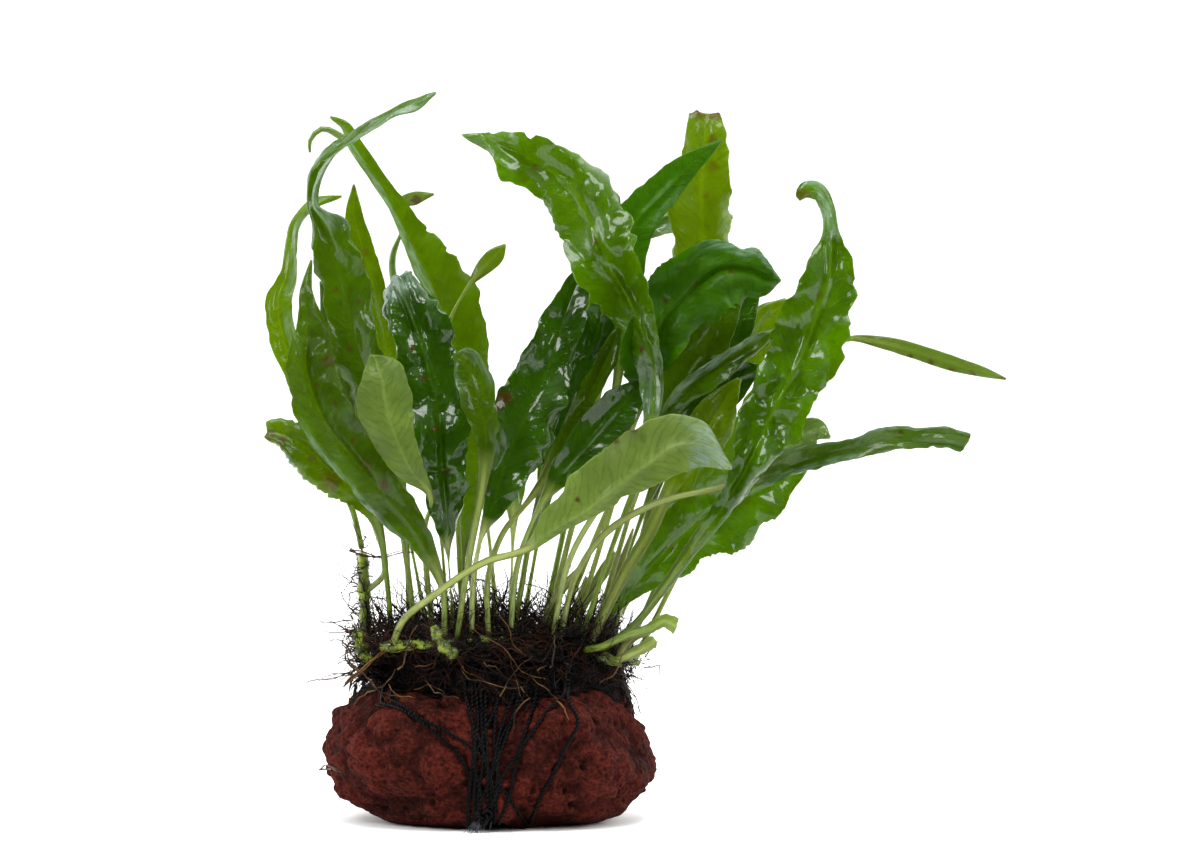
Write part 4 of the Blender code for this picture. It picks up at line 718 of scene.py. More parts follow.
@dataclass(frozen=True)
class LavaFinish:
    """Red lava rock: frothy basalt broken from a lump, rusty, granular, with open pores darkened by painted shade."""

    name: str = "lava_rock_broken"
    rust: str = "#421610"
    dark: str = "#230b07"
    pale: str = "#522018"
    dust: str = "#180604"
    # Colour of the painted shade in the stone's pits and creases
    hollow: str = "#100705"
    roughness: float = 0.92

    def material(self) -> bpy.types.Material:
        """The material, read in the rock's own object coordinates.

        Returns:
            The material.
        """
        material, tree, output = new_material(self.name)
        place = add_node(tree, "ShaderNodeTexCoord", {}).outputs["Object"]
        broad = add_node(tree, "ShaderNodeTexNoise", {"Vector": place, "Scale": 1 / 0.018, "Detail": 5.0})
        broad = add_node(tree, "ShaderNodeMapRange", {0: broad.outputs[0], 1: 0.35, 2: 0.65})
        grains = add_node(tree, "ShaderNodeTexNoise", {"Vector": place, "Scale": 1 / 0.0015, "Detail": 4.0})
        speck = add_node(tree, "ShaderNodeMapRange", {0: grains.outputs[0], 1: 0.4, 2: 0.8})
        cells = add_node(tree, "ShaderNodeTexVoronoi", {"Vector": place, "Scale": 1 / 0.0032})
        pores = add_node(tree, "ShaderNodeMapRange", {0: cells.outputs["Distance"], 1: 0.12, 2: 0.3,
                         3: 1.0, 4: 0.0})  # fmt: skip
        pit_shade = add_node(tree, "ShaderNodeAttribute", {}, attribute_name="dress")
        base = add_node(tree, "ShaderNodeMix", {0: broad.outputs[0], 6: linear(self.dark),
                        7: linear(self.rust)}, data_type="RGBA")  # fmt: skip
        base = add_node(tree, "ShaderNodeMix", {0: speck.outputs[0], 6: base.outputs[2],
                        7: linear(self.pale)}, data_type="RGBA")  # fmt: skip
        # Painted shade: the small pores are darkened in colour as well as dimpled by the bump below
        base = add_node(tree, "ShaderNodeMix", {0: pores.outputs[0], 6: base.outputs[2],
                        7: linear(self.dark)}, data_type="RGBA")  # fmt: skip
        dust = add_node(tree, "ShaderNodeTexNoise", {"Vector": place, "Scale": 1 / 0.0011, "Detail": 1.0})
        dust = add_node(tree, "ShaderNodeMapRange", {0: dust.outputs[0], 1: 0.48, 2: 0.66, 3: 0.0, 4: 0.6})
        base = add_node(tree, "ShaderNodeMix", {0: dust.outputs[0], 6: base.outputs[2],
                        7: linear(self.dust)}, data_type="RGBA")  # fmt: skip
        # Painted shade: darker in the stone's pits and creases, by how deep each point lies in them
        base = add_node(tree, "ShaderNodeMix", {0: pit_shade.outputs["Fac"], 6: base.outputs[2],
                        7: linear(self.hollow)}, data_type="RGBA")  # fmt: skip
        rough = add_node(tree, "ShaderNodeBump", {"Strength": 1.0, "Distance": 0.0011,
                         "Height": grains.outputs[0]})  # fmt: skip
        rough = add_node(tree, "ShaderNodeBump", {"Strength": 0.7, "Distance": 0.0008,
                         "Height": cells.outputs["Distance"], "Normal": rough.outputs[0]})  # fmt: skip
        surface = add_node(tree, "ShaderNodeBsdfPrincipled", {
            "Base Color": base.outputs[2], "Roughness": self.roughness, "IOR": 1.5,
            "Specular IOR Level": 0.05, "Normal": rough.outputs[0]})  # fmt: skip
        tree.links.new(surface.outputs[0], output.inputs[0])
        return material


@dataclass(frozen=True)
class StrandFinish:
    """A thin grown or spun strand: its colour changes along it in patches of a few millimetres."""

    name: str
    dark: str
    light: str
    roughness: float
    patch_mm: float = 6.0
    film: float = 0.0
    gloss: float = 0.5

    def material(self) -> bpy.types.Material:
        """The material, read in object coordinates.

        Returns:
            The material.
        """
        material, tree, output = new_material(self.name)
        place = add_node(tree, "ShaderNodeTexCoord", {}).outputs["Object"]
        patches = add_node(tree, "ShaderNodeTexNoise", {"Vector": place, "Scale": 1000 / self.patch_mm,
                           "Detail": 3.0})  # fmt: skip
        patches = add_node(tree, "ShaderNodeMapRange", {0: patches.outputs[0], 1: 0.42, 2: 0.72})
        colour = add_node(tree, "ShaderNodeMix", {0: patches.outputs[0], 6: linear(self.dark),
                          7: linear(self.light)}, data_type="RGBA")  # fmt: skip
        fine = add_node(tree, "ShaderNodeTexNoise", {"Vector": place, "Scale": 1 / 0.0007})
        bump = add_node(tree, "ShaderNodeBump", {"Strength": 0.4, "Distance": 0.0003,
                        "Height": fine.outputs[0]})  # fmt: skip
        surface = add_node(tree, "ShaderNodeBsdfPrincipled", {
            "Base Color": colour.outputs[2], "Roughness": self.roughness, "IOR": 1.5,
            "Specular IOR Level": self.gloss, "Coat Weight": self.film, "Coat Roughness": 0.12,
            "Normal": bump.outputs[0]})  # fmt: skip
        tree.links.new(surface.outputs[0], output.inputs[0])
        return material


LEAF_FINISHES = {
    Leaf.BRIGHT: LeafFinish(Leaf.BRIGHT, "#234600", "#426c00", "#608408", "#a9c708", 0.13, 1.0),
    Leaf.LIGHT: LeafFinish(Leaf.LIGHT, "#325400", "#527402", "#7a920e", "#b4c80a", 0.2, 0.5, 0.6),
    Leaf.MID: LeafFinish(Leaf.MID, "#224200", "#3c6200", "#4a6204", "#a6c006", 0.2, 0.6),
    Leaf.DEEP: LeafFinish(Leaf.DEEP, "#1a3400", "#2c5200", "#3a5e04", "#80aa06", 0.11, 1.0, 0.45),
    Leaf.GREY: LeafFinish(Leaf.GREY, "#3d561d", "#65803f", "#93a668", "#a5be64", 0.22, 0.9, 0.45),
    Leaf.UNDERSIDE: LeafFinish(Leaf.UNDERSIDE, "#4b6420", "#688032", "#869a4a", "#a2b640", 0.38, 0.15, 0.45,
                               veining=0.6),
    Leaf.BROWN: LeafFinish(Leaf.BROWN, "#30280c", "#5c5a20", "#7a7a30", "#8a8438", 0.5, 0.2, 0.3,
                           stalk="#5c5420"),
    Leaf.STALK: LeafFinish(Leaf.STALK, "#728b33", "#93a851", "#adba6e", "#c4d56c", 0.3, 0.5, 0.4),
}  # fmt: skip

# Leaves whose surface differs from that of their slot
LOOKS = {
    "leaf_right_dark_pointed": LeafFinish(Leaf.DEEP, "#224400", "#386400", "#436a04", "#88b800", 0.4, 0.1,
                                          0.5, body_gloss=0.14, name="deep_matt"),
    "leaf_centre_pointed": LeafFinish(Leaf.MID, "#224c00", "#3c6a00", "#466e04", "#90be06", 0.36, 0.12,
                                      0.5, body_gloss=0.18, name="mid_matt"),
    "leaf_front_left_wide": LeafFinish(Leaf.DEEP, "#243f00", "#3e6200", "#485e04", "#a4bc06", 0.24, 0.35,
                                       name="deep_broad"),
    "leaf_centre_left_bright": LeafFinish(Leaf.LIGHT, "#264400", "#426600", "#4e6404", "#a6be06", 0.2, 0.45,
                                          name="light_shaded"),
    "leaf_far_right_folded": LeafFinish(Leaf.MID, "#304e0c", "#4a6618", "#5a7424", "#84a02a", 0.26, 0.6,
                                        name="mid_greyed"),
    "leaf_tall_folded": LeafFinish(Leaf.MID, "#345600", "#507400", "#5c7206", "#b4cc08", 0.22, 0.4,
                                   name="mid_lit"),
}  # fmt: skip


@dataclass
class LavaStone:
    """The stone: its front outline, carried front to back as a rounded lump, pitted and cracked."""

    heart: float = 24.0
    half_depth: float = 40.0
    fullness: float = 0.62
    around: int = 420
    rings: int = 220
    outline: tuple = (
        (-56, 22), (-54, 32), (-49, 39), (-43, 43), (-35, 46), (-20, 48), (0, 49), (21, 48), (40, 46),
        (48, 40), (50, 33), (54, 25), (56, 18), (54, 13), (48, 6), (42, 1), (34, -1.5), (26, -1.5),
        (19, -3), (9, -5), (0, -5), (-9, -5), (-18, -3), (-26, -2), (-34, -0.5), (-43, 4), (-51, 10),
        (-55, 16),
    )  # fmt: skip
    lumps: tuple = (
        (22, 35, -1, 9, 3.5), (-32, 30, -1, 12, 3.0), (38, 22, -1, 10, 2.5), (-8, 14, -1, 9, 2.0),
        (6, 30, -1, 8, -2.0), (-32, 10, -1, 6, -3.0), (-20, 38, -1, 9, 2.0), (47, 12, -1, 5, -2.5),
        (-25, 32, 1, 12, 3.5), (24, 26, 1, 13, 3.0), (0, 16, 1, 9, -3.0), (40, 34, 1, 8, 2.0),
    )  # fmt: skip
    foot_height: float = 2.7
    foot_half_width: float = 5.0
    foot_slope: float = 3.0
    finish: LavaFinish = field(default_factory=LavaFinish)

    def plain(self) -> np.ndarray:
        """The lump before its rock detail.

        A ring at depth y = d sin(t) is the outline shrunk by cos(t)^0.62, and t runs so that the
        rings are evenly far apart over the surface.

        Returns:
            Points in millimetres, (rings, around, 3).
        """
        outline = np.array(self.outline, float) - (0, self.heart)
        angle = np.unwrap(np.arctan2(outline[:, 1], outline[:, 0]))[::-1]
        reach = np.hypot(outline[:, 0], outline[:, 1])[::-1]
        angle, reach = np.append(angle, angle[0] + 2 * math.pi), np.append(reach, reach[0])
        theta = angle[0] + np.arange(self.around) * 2 * math.pi / self.around
        radius = np.interp(theta, angle, reach)
        soft = np.hanning(13) / np.hanning(13).sum()
        radius = np.convolve(np.concatenate((radius[-6:], radius, radius[:6])), soft, "valid")
        fine = np.linspace(-math.pi / 2, math.pi / 2, 4001)
        profile = np.stack((45 * np.cos(fine) ** self.fullness, self.half_depth * np.sin(fine)), axis=1)
        run = np.concatenate(([0.0], np.cumsum(np.linalg.norm(np.diff(profile, axis=0), axis=1))))
        lean = np.interp(np.linspace(0, run[-1], self.rings), run, fine)
        inward = np.abs(np.cos(lean)) ** self.fullness
        points = np.zeros((self.rings, self.around, 3))
        points[..., 0] = inward[:, None] * radius * np.cos(theta)
        points[..., 1] = (self.half_depth * np.sin(lean))[:, None]
        points[..., 2] = self.heart + inward[:, None] * radius * np.sin(theta)
        return points

    def surface(self) -> tuple[np.ndarray, np.ndarray]:
        """The rock's surface: the lump, its named lumps and hollows, coarse and fine roughness and pores.

        Each point moves away from the heart by the sum of bumps h exp(-r^2 / 2s^2), crags that fall
        with the distance to the nearest of random points 14 mm apart, knobs that are the size of a
        grain field, so that sharp creases run where it is nought, and round pores whose depth falls
        to nothing at their edge.

        Returns:
            Points in millimetres in the row frame, and the share of painted shade at each, from 0 to 1: most deep in a
            pore, some in a crease.
        """
        points = self.plain()
        outward = unit(points - (0, 0, self.heart))
        rise = np.zeros(points.shape[:2])
        for across, height, side, spread, lift in self.lumps:
            centre = np.array((across, side * self.half_depth * 0.85, height))
            rise += lift * np.exp(-((points - centre) ** 2).sum(-1) / (2 * spread * spread))
        calm = np.clip(points[..., 2] / 7.0, 0.15, 1)
        bent = points + 2.5 * np.stack([Grain(30 + i).at(points, 9) for i in range(3)], axis=-1)
        crags = 4.4 * (0.5 - Grain(5).pits(bent, 14)) + 2.8 * (np.abs(Grain(6).at(bent, 8)) - 0.4)
        knobs = 1.8 * (np.abs(Grain(7).at(bent, 4.0)) - 0.4) + 1.0 * (np.abs(Grain(8).at(bent, 2.2)) - 0.4)
        rise += calm * (crags + knobs + 0.7 * Grain(1).layered(points, 15, 2) + 0.2 * Grain(2).at(points, 1.3))
        where = np.clip(2.2 * Grain(9).at(points, 17) + 0.1, 0, 1)
        holes = np.clip(1 - Grain(3).pits(bent, 6.5) / 0.25, 0, 1) * where
        small = np.clip(1 - Grain(4).pits(bent, 2.8) / 0.36, 0, 1)
        rise -= calm * (2.0 * holes**0.6 + 0.4 * small**0.7)
        # Creases, pores and small pits get painted shade, by the share returned below
        creased = np.clip(-0.5 * (crags + knobs) - 0.15, 0, 0.6)
        points = points + outward * rise[..., None]
        wide = self.foot_half_width + self.foot_slope
        hollow = np.clip((wide - np.abs(points[..., 0])) / self.foot_slope, 0, 1)
        points[..., 2] = np.maximum(points[..., 2], self.foot_height * hollow)
        return points + (ORIGIN_ACROSS, 0, 0), np.clip(1.1 * holes**0.5 + 0.4 * small + creased - 0.1, 0, 0.95)

    def build(self) -> bpy.types.Object:
        """Make the stone.

        Returns:
            The piece that stands for the node "stone".
        """
        points, depth = self.surface()
        points[0], points[-1] = points[0].mean(0), points[-1].mean(0)
        # The dress holds the share of painted shade in pits and creases
        dress = np.repeat(depth[..., None], 4, axis=-1)
        stone = bundle("lava_stone", points[None], self.finish.material(), dress=dress[None])
        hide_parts("stone")
        return stone


@dataclass
class RootFelt:
    """The holdfast roots: a dark core over the stone, loose fibres on it, and long outer roots."""

    centre: tuple = (19.0, 0.0, 44.0)
    half: tuple = (43.0, 33.0, 11.0)
    fullness: float = 0.85
    felt_fibres: int = 1900
    tangle_fibres: int = 1300
    tangle_pieces: int = 3
    stray_fibres: int = 300
    risers: int = 400
    tuft_fibres: int = 48
    # Where loose roots stand up between the stalks: depth, then (across, height) of each tuft
    tuft_rows: tuple = (
        (-15, ((-24.5, 69), (-20, 66), (-15.5, 71), (-11.8, 66), (-1.5, 70), (9.8, 67))),
        (2.5, ((-37.5, 68), (-24, 77), (-18, 74), (-13.2, 79), (-6.2, 76), (6, 77), (17, 72), (23, 76))),
        (22, ((-15, 72), (-11.8, 68), (-3, 76), (7.6, 70), (16.2, 74), (32, 67))),
    )  # fmt: skip
    weaver_count: int = 28
    drape_count: int = 200
    rim_depth: float = 32.0
    rim_half: float = 47.0
    runners: tuple = (
        ((-34, 46, -2), (-48, 49, -4), (-63, 46, -2)),
        ((-32, 48, 6), (-46, 55, 12), (-51, 60, 14)),
        ((36, 46, -6), (45, 47, -12), (49, 42, -14), (52, 35, -16)),
        ((36, 46, 8), (50, 48, 14), (54, 44, 18)),
        ((29, 48, 14), (36, 49, 30), (41, 44, 41), (42, 36, 46)),
        ((8, 49, 18), (7, 50, 34), (8, 43, 47), (8, 32, 51)),
        ((-45, 51, -20), (-49, 56, -16), (-48, 60, -14), (-43, 61, -12)),
        ((-49, 46, -24), (-40, 54, -22), (-30, 63, -18)),
        ((-58, 17, 3), (-55, 17.5, -3), (-53, 17.3, -15), (-50, 17, -21.5)),
        ((-48, 92, -6), (-43, 91, -8), (-38, 90, -8), (-26, 91.5, -8)),
    )
    claws: tuple = (
        ((-32, 45, -14), (-42, 50, -20), (-45.5, 47, -21), (-46.5, 41, -22)),
        ((-30, 48, -10), (-38, 53, -16), (-42.5, 50, -18), (-43.5, 44, -20)),
    )
    black: StrandFinish = StrandFinish("holdfast_root_black", "#030101", "#140904", 0.5, film=0.05, gloss=0.06)
    russet: StrandFinish = StrandFinish("holdfast_root_russet", "#0a0402", "#371a0b", 0.5, film=0.05, gloss=0.08)
    brown: StrandFinish = StrandFinish("holdfast_root_straw", "#1c0e06", "#6c4c24", 0.6, gloss=0.2)

    def core(self) -> bpy.types.Object:
        """The felted core: x, y and z of a rounded box, |h|^2.9 + |z|^2.9 = 1, roughened by grain.

        Returns:
            The piece that stands for the node "root_mat".
        """
        lean = np.linspace(-math.pi / 2, math.pi / 2, 90)[:, None]
        around = np.arange(180) * 2 * math.pi / 180
        flat = np.cos(lean) ** self.fullness
        tall = np.sign(lean) * np.abs(np.sin(lean)) ** self.fullness
        ball = np.stack((flat * np.cos(around), flat * np.sin(around), tall + 0 * around), axis=-1)
        points = ball * self.half + self.centre
        rough = 3.2 * Grain(11).layered(points, 12, 3) + 0.6 * Grain(12).at(points, 1.6)
        points += unit(ball) * rough[..., None]
        points[..., 1] = self.drawn_back(points, 0.3)
        points[0], points[-1] = points[0].mean(0), points[-1].mean(0)
        piece = bundle("root_felt_core", points[None], self.black.material())
        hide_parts("root_mat")
        return piece

    def rim(self, x: np.ndarray) -> np.ndarray:
        """The depth of the mat's front rim, -32 (1 - t^1.5), with t the share of half its width."""
        return -self.rim_depth * (1 - np.minimum(np.abs(x - self.centre[0]) / self.rim_half, 1) ** 1.5)

    def drawn_back(self, points: np.ndarray, slack: float) -> np.ndarray:
        """The depths of points, those before the rim drawn back to rim - 10 slack (1 - exp(-d / 10)).

        Args:
            points: places in millimetres.
            slack: how much of the way past the rim is kept.

        Returns:
            y for each point.
        """
        rim = self.rim(points[..., 0])
        past = np.maximum(rim - points[..., 1], 0)
        return np.maximum(points[..., 1], rim) - 10 * slack * (1 - np.exp(-past / 10))

    def felt(self, ground: "Ground") -> bpy.types.Object:
        """Loose fibres lying on the mat: each wanders in plan and rides over the ground.

        A fibre is start + heading s + side grain(s), at the ground's height plus a low arch. The
        plan is drawn in to a different reach for each, so that the edge of the mat is ragged.

        Args:
            ground: the height of what lies below.

        Returns:
            The piece.
        """
        chance = np.random.default_rng(101)
        count, steps = self.felt_fibres, 11
        angle = chance.uniform(0, 2 * math.pi, count)
        out = chance.uniform(0, 1, count) ** 0.4
        start = np.stack((out * np.cos(angle) * 46, out * np.sin(angle) * 34), axis=1)
        turn = np.cumsum(chance.normal(0, 0.4, (count, steps)), axis=1)
        heading = chance.uniform(0, 2 * math.pi, count)[:, None] + turn
        length = chance.uniform(9, 30, count)[:, None] / steps
        plan = np.cumsum(np.stack((np.cos(heading), np.sin(heading)), axis=-1) * length[..., None], axis=1)
        plan = start[:, None] + plan - plan.mean(axis=1, keepdims=True)
        edge = chance.uniform(0.82, 1.06, count)[:, None] + 0.08 * Grain(13).at(
            np.concatenate((plan, plan[..., :1] * 0), axis=-1), 12
        )
        reach = np.hypot(plan[..., 0] / 46, plan[..., 1] / 37)
        plan /= np.maximum(reach / edge, 1)[..., None]
        plan += self.centre[:2]
        plan[..., 1] = self.drawn_back(plan, 0.5)
        along = np.linspace(0, 1, steps)
        arch = np.sin(along * math.pi) * chance.exponential(1.4, count)[:, None]
        jitter = 0.5 * Grain(20).at(np.concatenate((plan, arch[..., None] * 9), axis=-1), 3)
        height = np.maximum(ground.height(plan), 35) + 0.1 + arch + np.abs(jitter)
        path = np.concatenate((plan, height[..., None]), axis=-1)
        radius = chance.uniform(0.13, 0.28, count)[:, None] * (1 - 0.7 * np.abs(2 * along - 1) ** 3)
        return bundle("root_fibres", tubes(path, radius, 3), self.made(self.black))

    @staticmethod
    def made(finish: StrandFinish) -> bpy.types.Material:
        """A root finish's material, made once."""
        return bpy.data.materials.get(finish.name) or finish.material()

    @staticmethod
    def wandering(start: np.ndarray, heading: np.ndarray, length: np.ndarray, steps: int,
                  chance: np.random.Generator, bend: float) -> np.ndarray:
        """Curly paths: each step goes on in the last one's direction, turned a little at random.

        Args:
            start: where each begins, in millimetres.
            heading: its first direction.
            length: its length.
            steps: how many points it has.
            chance: the source of the turns.
            bend: how much it turns in a step.

        Returns:
            Points, (paths, steps, 3).
        """
        turns = np.cumsum(chance.normal(0, bend, (len(start), steps, 3)), axis=1)
        steps_taken = unit(heading[:, None] + turns) * (length / (steps - 1))[:, None, None]
        path = start[:, None] + np.cumsum(steps_taken, axis=1)
        path[:, 0] = start
        return path

    @staticmethod
    def drawn_in(x: np.ndarray) -> np.ndarray:
        """x, with what is over 32 mm from the stone's middle drawn in as 32 + 22 (1 - exp(-d / 22))."""
        off = x - ORIGIN_ACROSS - 1
        over = np.maximum(np.abs(off) - 32, 0)
        return ORIGIN_ACROSS + 1 + np.sign(off) * (np.minimum(np.abs(off), 32) + 22 * (1 - np.exp(-over / 22)))

    def tangle(self, number: int, ground: "Ground", stems: np.ndarray) -> bpy.types.Object:
        """Curly roots in and over the mat, thickest round the rhizomes.

        Args:
            number: which piece this is, which also seeds it.
            ground: the height of the mat, which they stay above.
            stems: points along the rhizomes that lie on the mat, in millimetres.

        Returns:
            The piece.
        """
        chance = np.random.default_rng(200 + number)
        count = self.tangle_fibres
        start = stems[chance.integers(0, len(stems), count)] + chance.normal(0, (5, 5, 3), (count, 3))
        start[:, 2] -= chance.exponential(4, count)
        heading = unit(chance.normal(0, (1, 1, 0.75), (count, 3)) - (0, 0, 0.15))
        path = self.wandering(start, heading, chance.uniform(10, 34, count), 14, chance, 0.3)
        path[..., 0] = self.drawn_in(path[..., 0])
        path[..., 1] = self.drawn_back(path, 0.5)
        # In places the front rhizome stays clear of the roots before it
        gaps = 61 + 9 * Grain(21).at(path * (1, 0, 0), 6)
        ceiling = gaps + np.maximum(path[..., 1] + 25, 0) + chance.exponential(1.5, count)[:, None]
        path[..., 2] = np.minimum(path[..., 2], ceiling)
        floor = np.maximum(ground.height(path[..., :2]), 33) + chance.uniform(0.2, 2.4, count)[:, None]
        path[..., 2] = np.maximum(path[..., 2], floor)
        along = np.linspace(0, 1, 14)
        radius = chance.gamma(4, 0.05, count).clip(0.12, 0.42)[:, None] * (1 - 0.65 * along**2)
        finish = self.russet if number == 2 else self.black
        return bundle(f"root_tangle_{number}", tubes(path, radius, 3), self.made(finish))

    def rising(self, stems: np.ndarray) -> bpy.types.Object:
        """Fewer, longer roots that rise between the leaf stalks and curl over.

        Args:
            stems: points along the rhizomes that lie on the mat, in millimetres.

        Returns:
            The piece.
        """
        chance = np.random.default_rng(310)
        count = self.risers
        start = stems[chance.integers(0, len(stems), count)] + chance.normal(0, (3, 3, 1), (count, 3))
        heading = unit(chance.normal(0, (1, 1, 0.3), (count, 3)) + (0, 0, 0.7))
        # They reach higher in some places than in others, and highest at the left
        share = 0.85 + 0.8 * Grain(22).at(start * (1, 0, 0), 11) + 0.5 * np.clip((4 - start[:, 0]) / 25, 0, 1)
        length = chance.gamma(4.0, 5.5, count).clip(8, 42) * share.clip(0.3, 1.6)
        path = self.wandering(start, heading, length, 16, chance, 0.4)
        path[..., 0] = self.drawn_in(path[..., 0])
        along = np.linspace(0, 1, 16)
        radius = chance.uniform(0.13, 0.26, count)[:, None] * (1 - 0.7 * along)
        return bundle("root_risers", tubes(path, radius, 3), self.made(self.russet))

    def tufts(self) -> bpy.types.Object:
        """Bunches of roots that stand between the stalks, and reach the tips of the solid's tufts.

        Returns:
            The piece.
        """
        chance = np.random.default_rng(340)
        feet = np.array([(across, depth, top) for depth, row in self.tuft_rows for across, top in row], float)
        foot = np.repeat(feet, self.tuft_fibres, axis=0)
        count, low = len(foot), 50.0
        start = foot * (1, 1, 0) + (ORIGIN_ACROSS, 0, low) + chance.normal(0, (2.2, 2.4, 2), (count, 3))
        heading = unit(chance.normal(0, (0.3, 0.3, 0.1), (count, 3)) + (0, 0, 1))
        length = 1.2 * (foot[:, 2] - low) * chance.uniform(0.35, 1.08, count)
        path = self.wandering(start, heading, length, 12, chance, 0.2)
        radius = chance.uniform(0.13, 0.28, count)[:, None] * (1 - 0.7 * np.linspace(0, 1, 12))
        return bundle("root_tufts", tubes(path, radius, 3), self.made(self.black))

    def strays(self, ground: "Ground", stems: np.ndarray) -> bpy.types.Object:
        """Thin red-brown roots that stick out at the ends and hang over the stone's shoulders.

        Args:
            ground: the height of the mat and stone.
            stems: points along all the rhizomes.

        Returns:
            The piece.
        """
        chance = np.random.default_rng(320)
        count = self.stray_fibres
        ends = stems[np.abs(stems[:, 0] - 16) > 26]
        start = ends[chance.integers(0, len(ends), count)] + chance.normal(0, (2, 2, 3), (count, 3))
        outward = np.sign(start[:, :1] - 16) * (0.9, 0, 0)
        heading = unit(chance.normal(0, (0.6, 0.7, 0.6), (count, 3)) + outward)
        path = self.wandering(start, heading, chance.gamma(3.0, 3.2, count).clip(4, 20), 12, chance, 0.33)
        path[..., 0] = np.clip(path[..., 0], -44, 74)
        path[..., 2] = np.maximum(path[..., 2], ground.height(path[..., :2]) + 0.3)
        radius = chance.uniform(0.13, 0.3, count)[:, None] * (1 - 0.7 * np.linspace(0, 1, 12))
        return bundle("root_strays", tubes(path, radius, 4), self.made(self.russet))

    def weavers(self, ground: "Ground") -> bpy.types.Object:
        """Thicker straw-brown roots that weave over the front and ends of the mat.

        Args:
            ground: the height of the mat.

        Returns:
            The piece.
        """
        chance = np.random.default_rng(325)
        count = self.weaver_count
        start = np.stack((chance.uniform(-26, 60, count), chance.normal(-31, 4, count), chance.uniform(42, 60, count)), axis=1)
        heading = unit(chance.normal(0, (1, 0.35, 0.6), (count, 3)))
        path = self.wandering(start, heading, chance.gamma(4.0, 4.5, count).clip(6, 34), 16, chance, 0.24)
        path[..., 0] = self.drawn_in(path[..., 0])
        front = self.rim(path[..., 0]) - chance.uniform(0, 3, count)[:, None]
        path[..., 1] = np.where(path[..., 2] < 56, np.minimum(path[..., 1], front), path[..., 1])
        path[..., 2] = np.maximum(path[..., 2], ground.height(path[..., :2]) + 0.4)
        radius = chance.uniform(0.14, 0.32, count)[:, None] * (1 - 0.6 * np.linspace(0, 1, 16) ** 2)
        return bundle("root_weavers", tubes(path, radius, 5), self.made(self.brown))

    def drape(self, tree: BVHTree) -> bpy.types.Object:
        """Roots that run from the rim of the mat down the faces of the stone, held to it.

        In each the angle a round the stone's long axis grows evenly, the place across wanders, and
        the distance from the axis is what a ray from outside finds, so that it lies on the rock.

        Args:
            tree: the faces of the stone and core.

        Returns:
            The piece.
        """
        chance = np.random.default_rng(330)
        count, steps = self.drape_count, 12
        side = np.where(chance.uniform(0, 1, count) < 0.7, 1, -1)
        across = chance.uniform(-44, 44, count)[:, None] + np.cumsum(chance.normal(0, 0.7, (count, steps)), axis=1)
        rim = np.degrees(np.arctan2(-self.rim(across[:, 0] + ORIGIN_ACROSS), 22))
        first = np.where(side > 0, rim - 8, 40) + chance.uniform(0, 12, count)
        span = chance.exponential(8, count).clip(2, 34)
        angle = np.radians(first[:, None] + span[:, None] * np.linspace(0, 1, steps)) * side[:, None]
        outward = np.stack((0 * angle, -np.sin(angle), np.cos(angle)), axis=-1)
        heart = np.stack((across + ORIGIN_ACROSS, 0 * across, 0 * across + 24), axis=-1)
        far = (heart + outward * 90).reshape(-1, 3)
        hits = [tree.ray_cast(Vector(a), Vector(b)) for a, b in zip(far, -outward.reshape(-1, 3))]
        reach = np.array([90 - hit[3] if hit[0] else 20.0 for hit in hits]).reshape(angle.shape)
        lift = chance.exponential(0.5, count)[:, None] + 0.1
        path = heart + outward * (reach + lift)[..., None]
        radius = chance.uniform(0.12, 0.26, count)[:, None] * (1 - 0.7 * np.linspace(0, 1, steps) ** 2)
        return bundle("root_drape", tubes(path, radius, 4), self.made(self.black))

    def long_roots(self) -> bpy.types.Object:
        """The long outer roots, each a bunch of three fine strands round its route.

        Returns:
            The piece.
        """
        rings = []
        for number, route in enumerate(self.runners):
            rings += self.bunch(route, 60 + 9 * number, 3, 1.3, 0.32)
        return bundle("root_runners", np.array(rings), self.made(self.brown))

    @staticmethod
    def bunch(route: tuple, seed: int, strands: int, spread: float, thick: float) -> list[np.ndarray]:
        """Strands that wander round one route, each route + spread grain(route).

        Args:
            route: points as (across, up, depth).
            seed: makes the strands their own.
            strands: how many.
            spread: how far they wander, in millimetres.
            thick: a strand's radius where it starts.

        Returns:
            The rings of each strand.
        """
        path = through(in_space(route), 1.2)
        keep = np.linspace(0, len(path) - 1, 40)
        path = np.stack([np.interp(keep, np.arange(len(path)), path[:, i]) for i in range(3)], axis=1)
        rings = []
        for strand in range(strands):
            wander = np.stack([Grain(seed + 3 * strand + i).at(path, 6) for i in range(3)], axis=1)
            rings.append(tubes((path + spread * wander)[None], np.linspace(thick, 0.1, 40)[None], 5)[0])
        return rings

    def claw(self) -> bpy.types.Object:
        """The thick black bunch that hangs over the stone's left shoulder.

        Returns:
            The piece.
        """
        rings = [ring for number, route in enumerate(self.claws) for ring in self.bunch(route, 500 + 40 * number, 9, 2.4, 0.62)]
        return bundle("root_claw", np.array(rings), self.made(self.black))

    def build(self, ground: "Ground", stems: dict) -> None:
        """Make all but the core, which the ground is read from.

        Args:
            ground: the height of the stone and core.
            stems: points along each rhizome, by its name.
        """
        standing = ("rhizome_upright", "rhizome_left_tip", "rhizome_front_shoot")
        lying = np.concatenate([path for name, path in stems.items() if name not in standing])
        lying = lying[np.abs(lying[:, 0] - ORIGIN_ACROSS - 1) < 37]
        self.felt(ground)
        for number in range(self.tangle_pieces):
            self.tangle(number, ground, lying)
        self.rising(lying)
        self.tufts()
        self.strays(ground, np.concatenate(list(stems.values())))
        self.weavers(ground)
        self.drape(ground.tree)
        self.long_roots()
        self.claw()


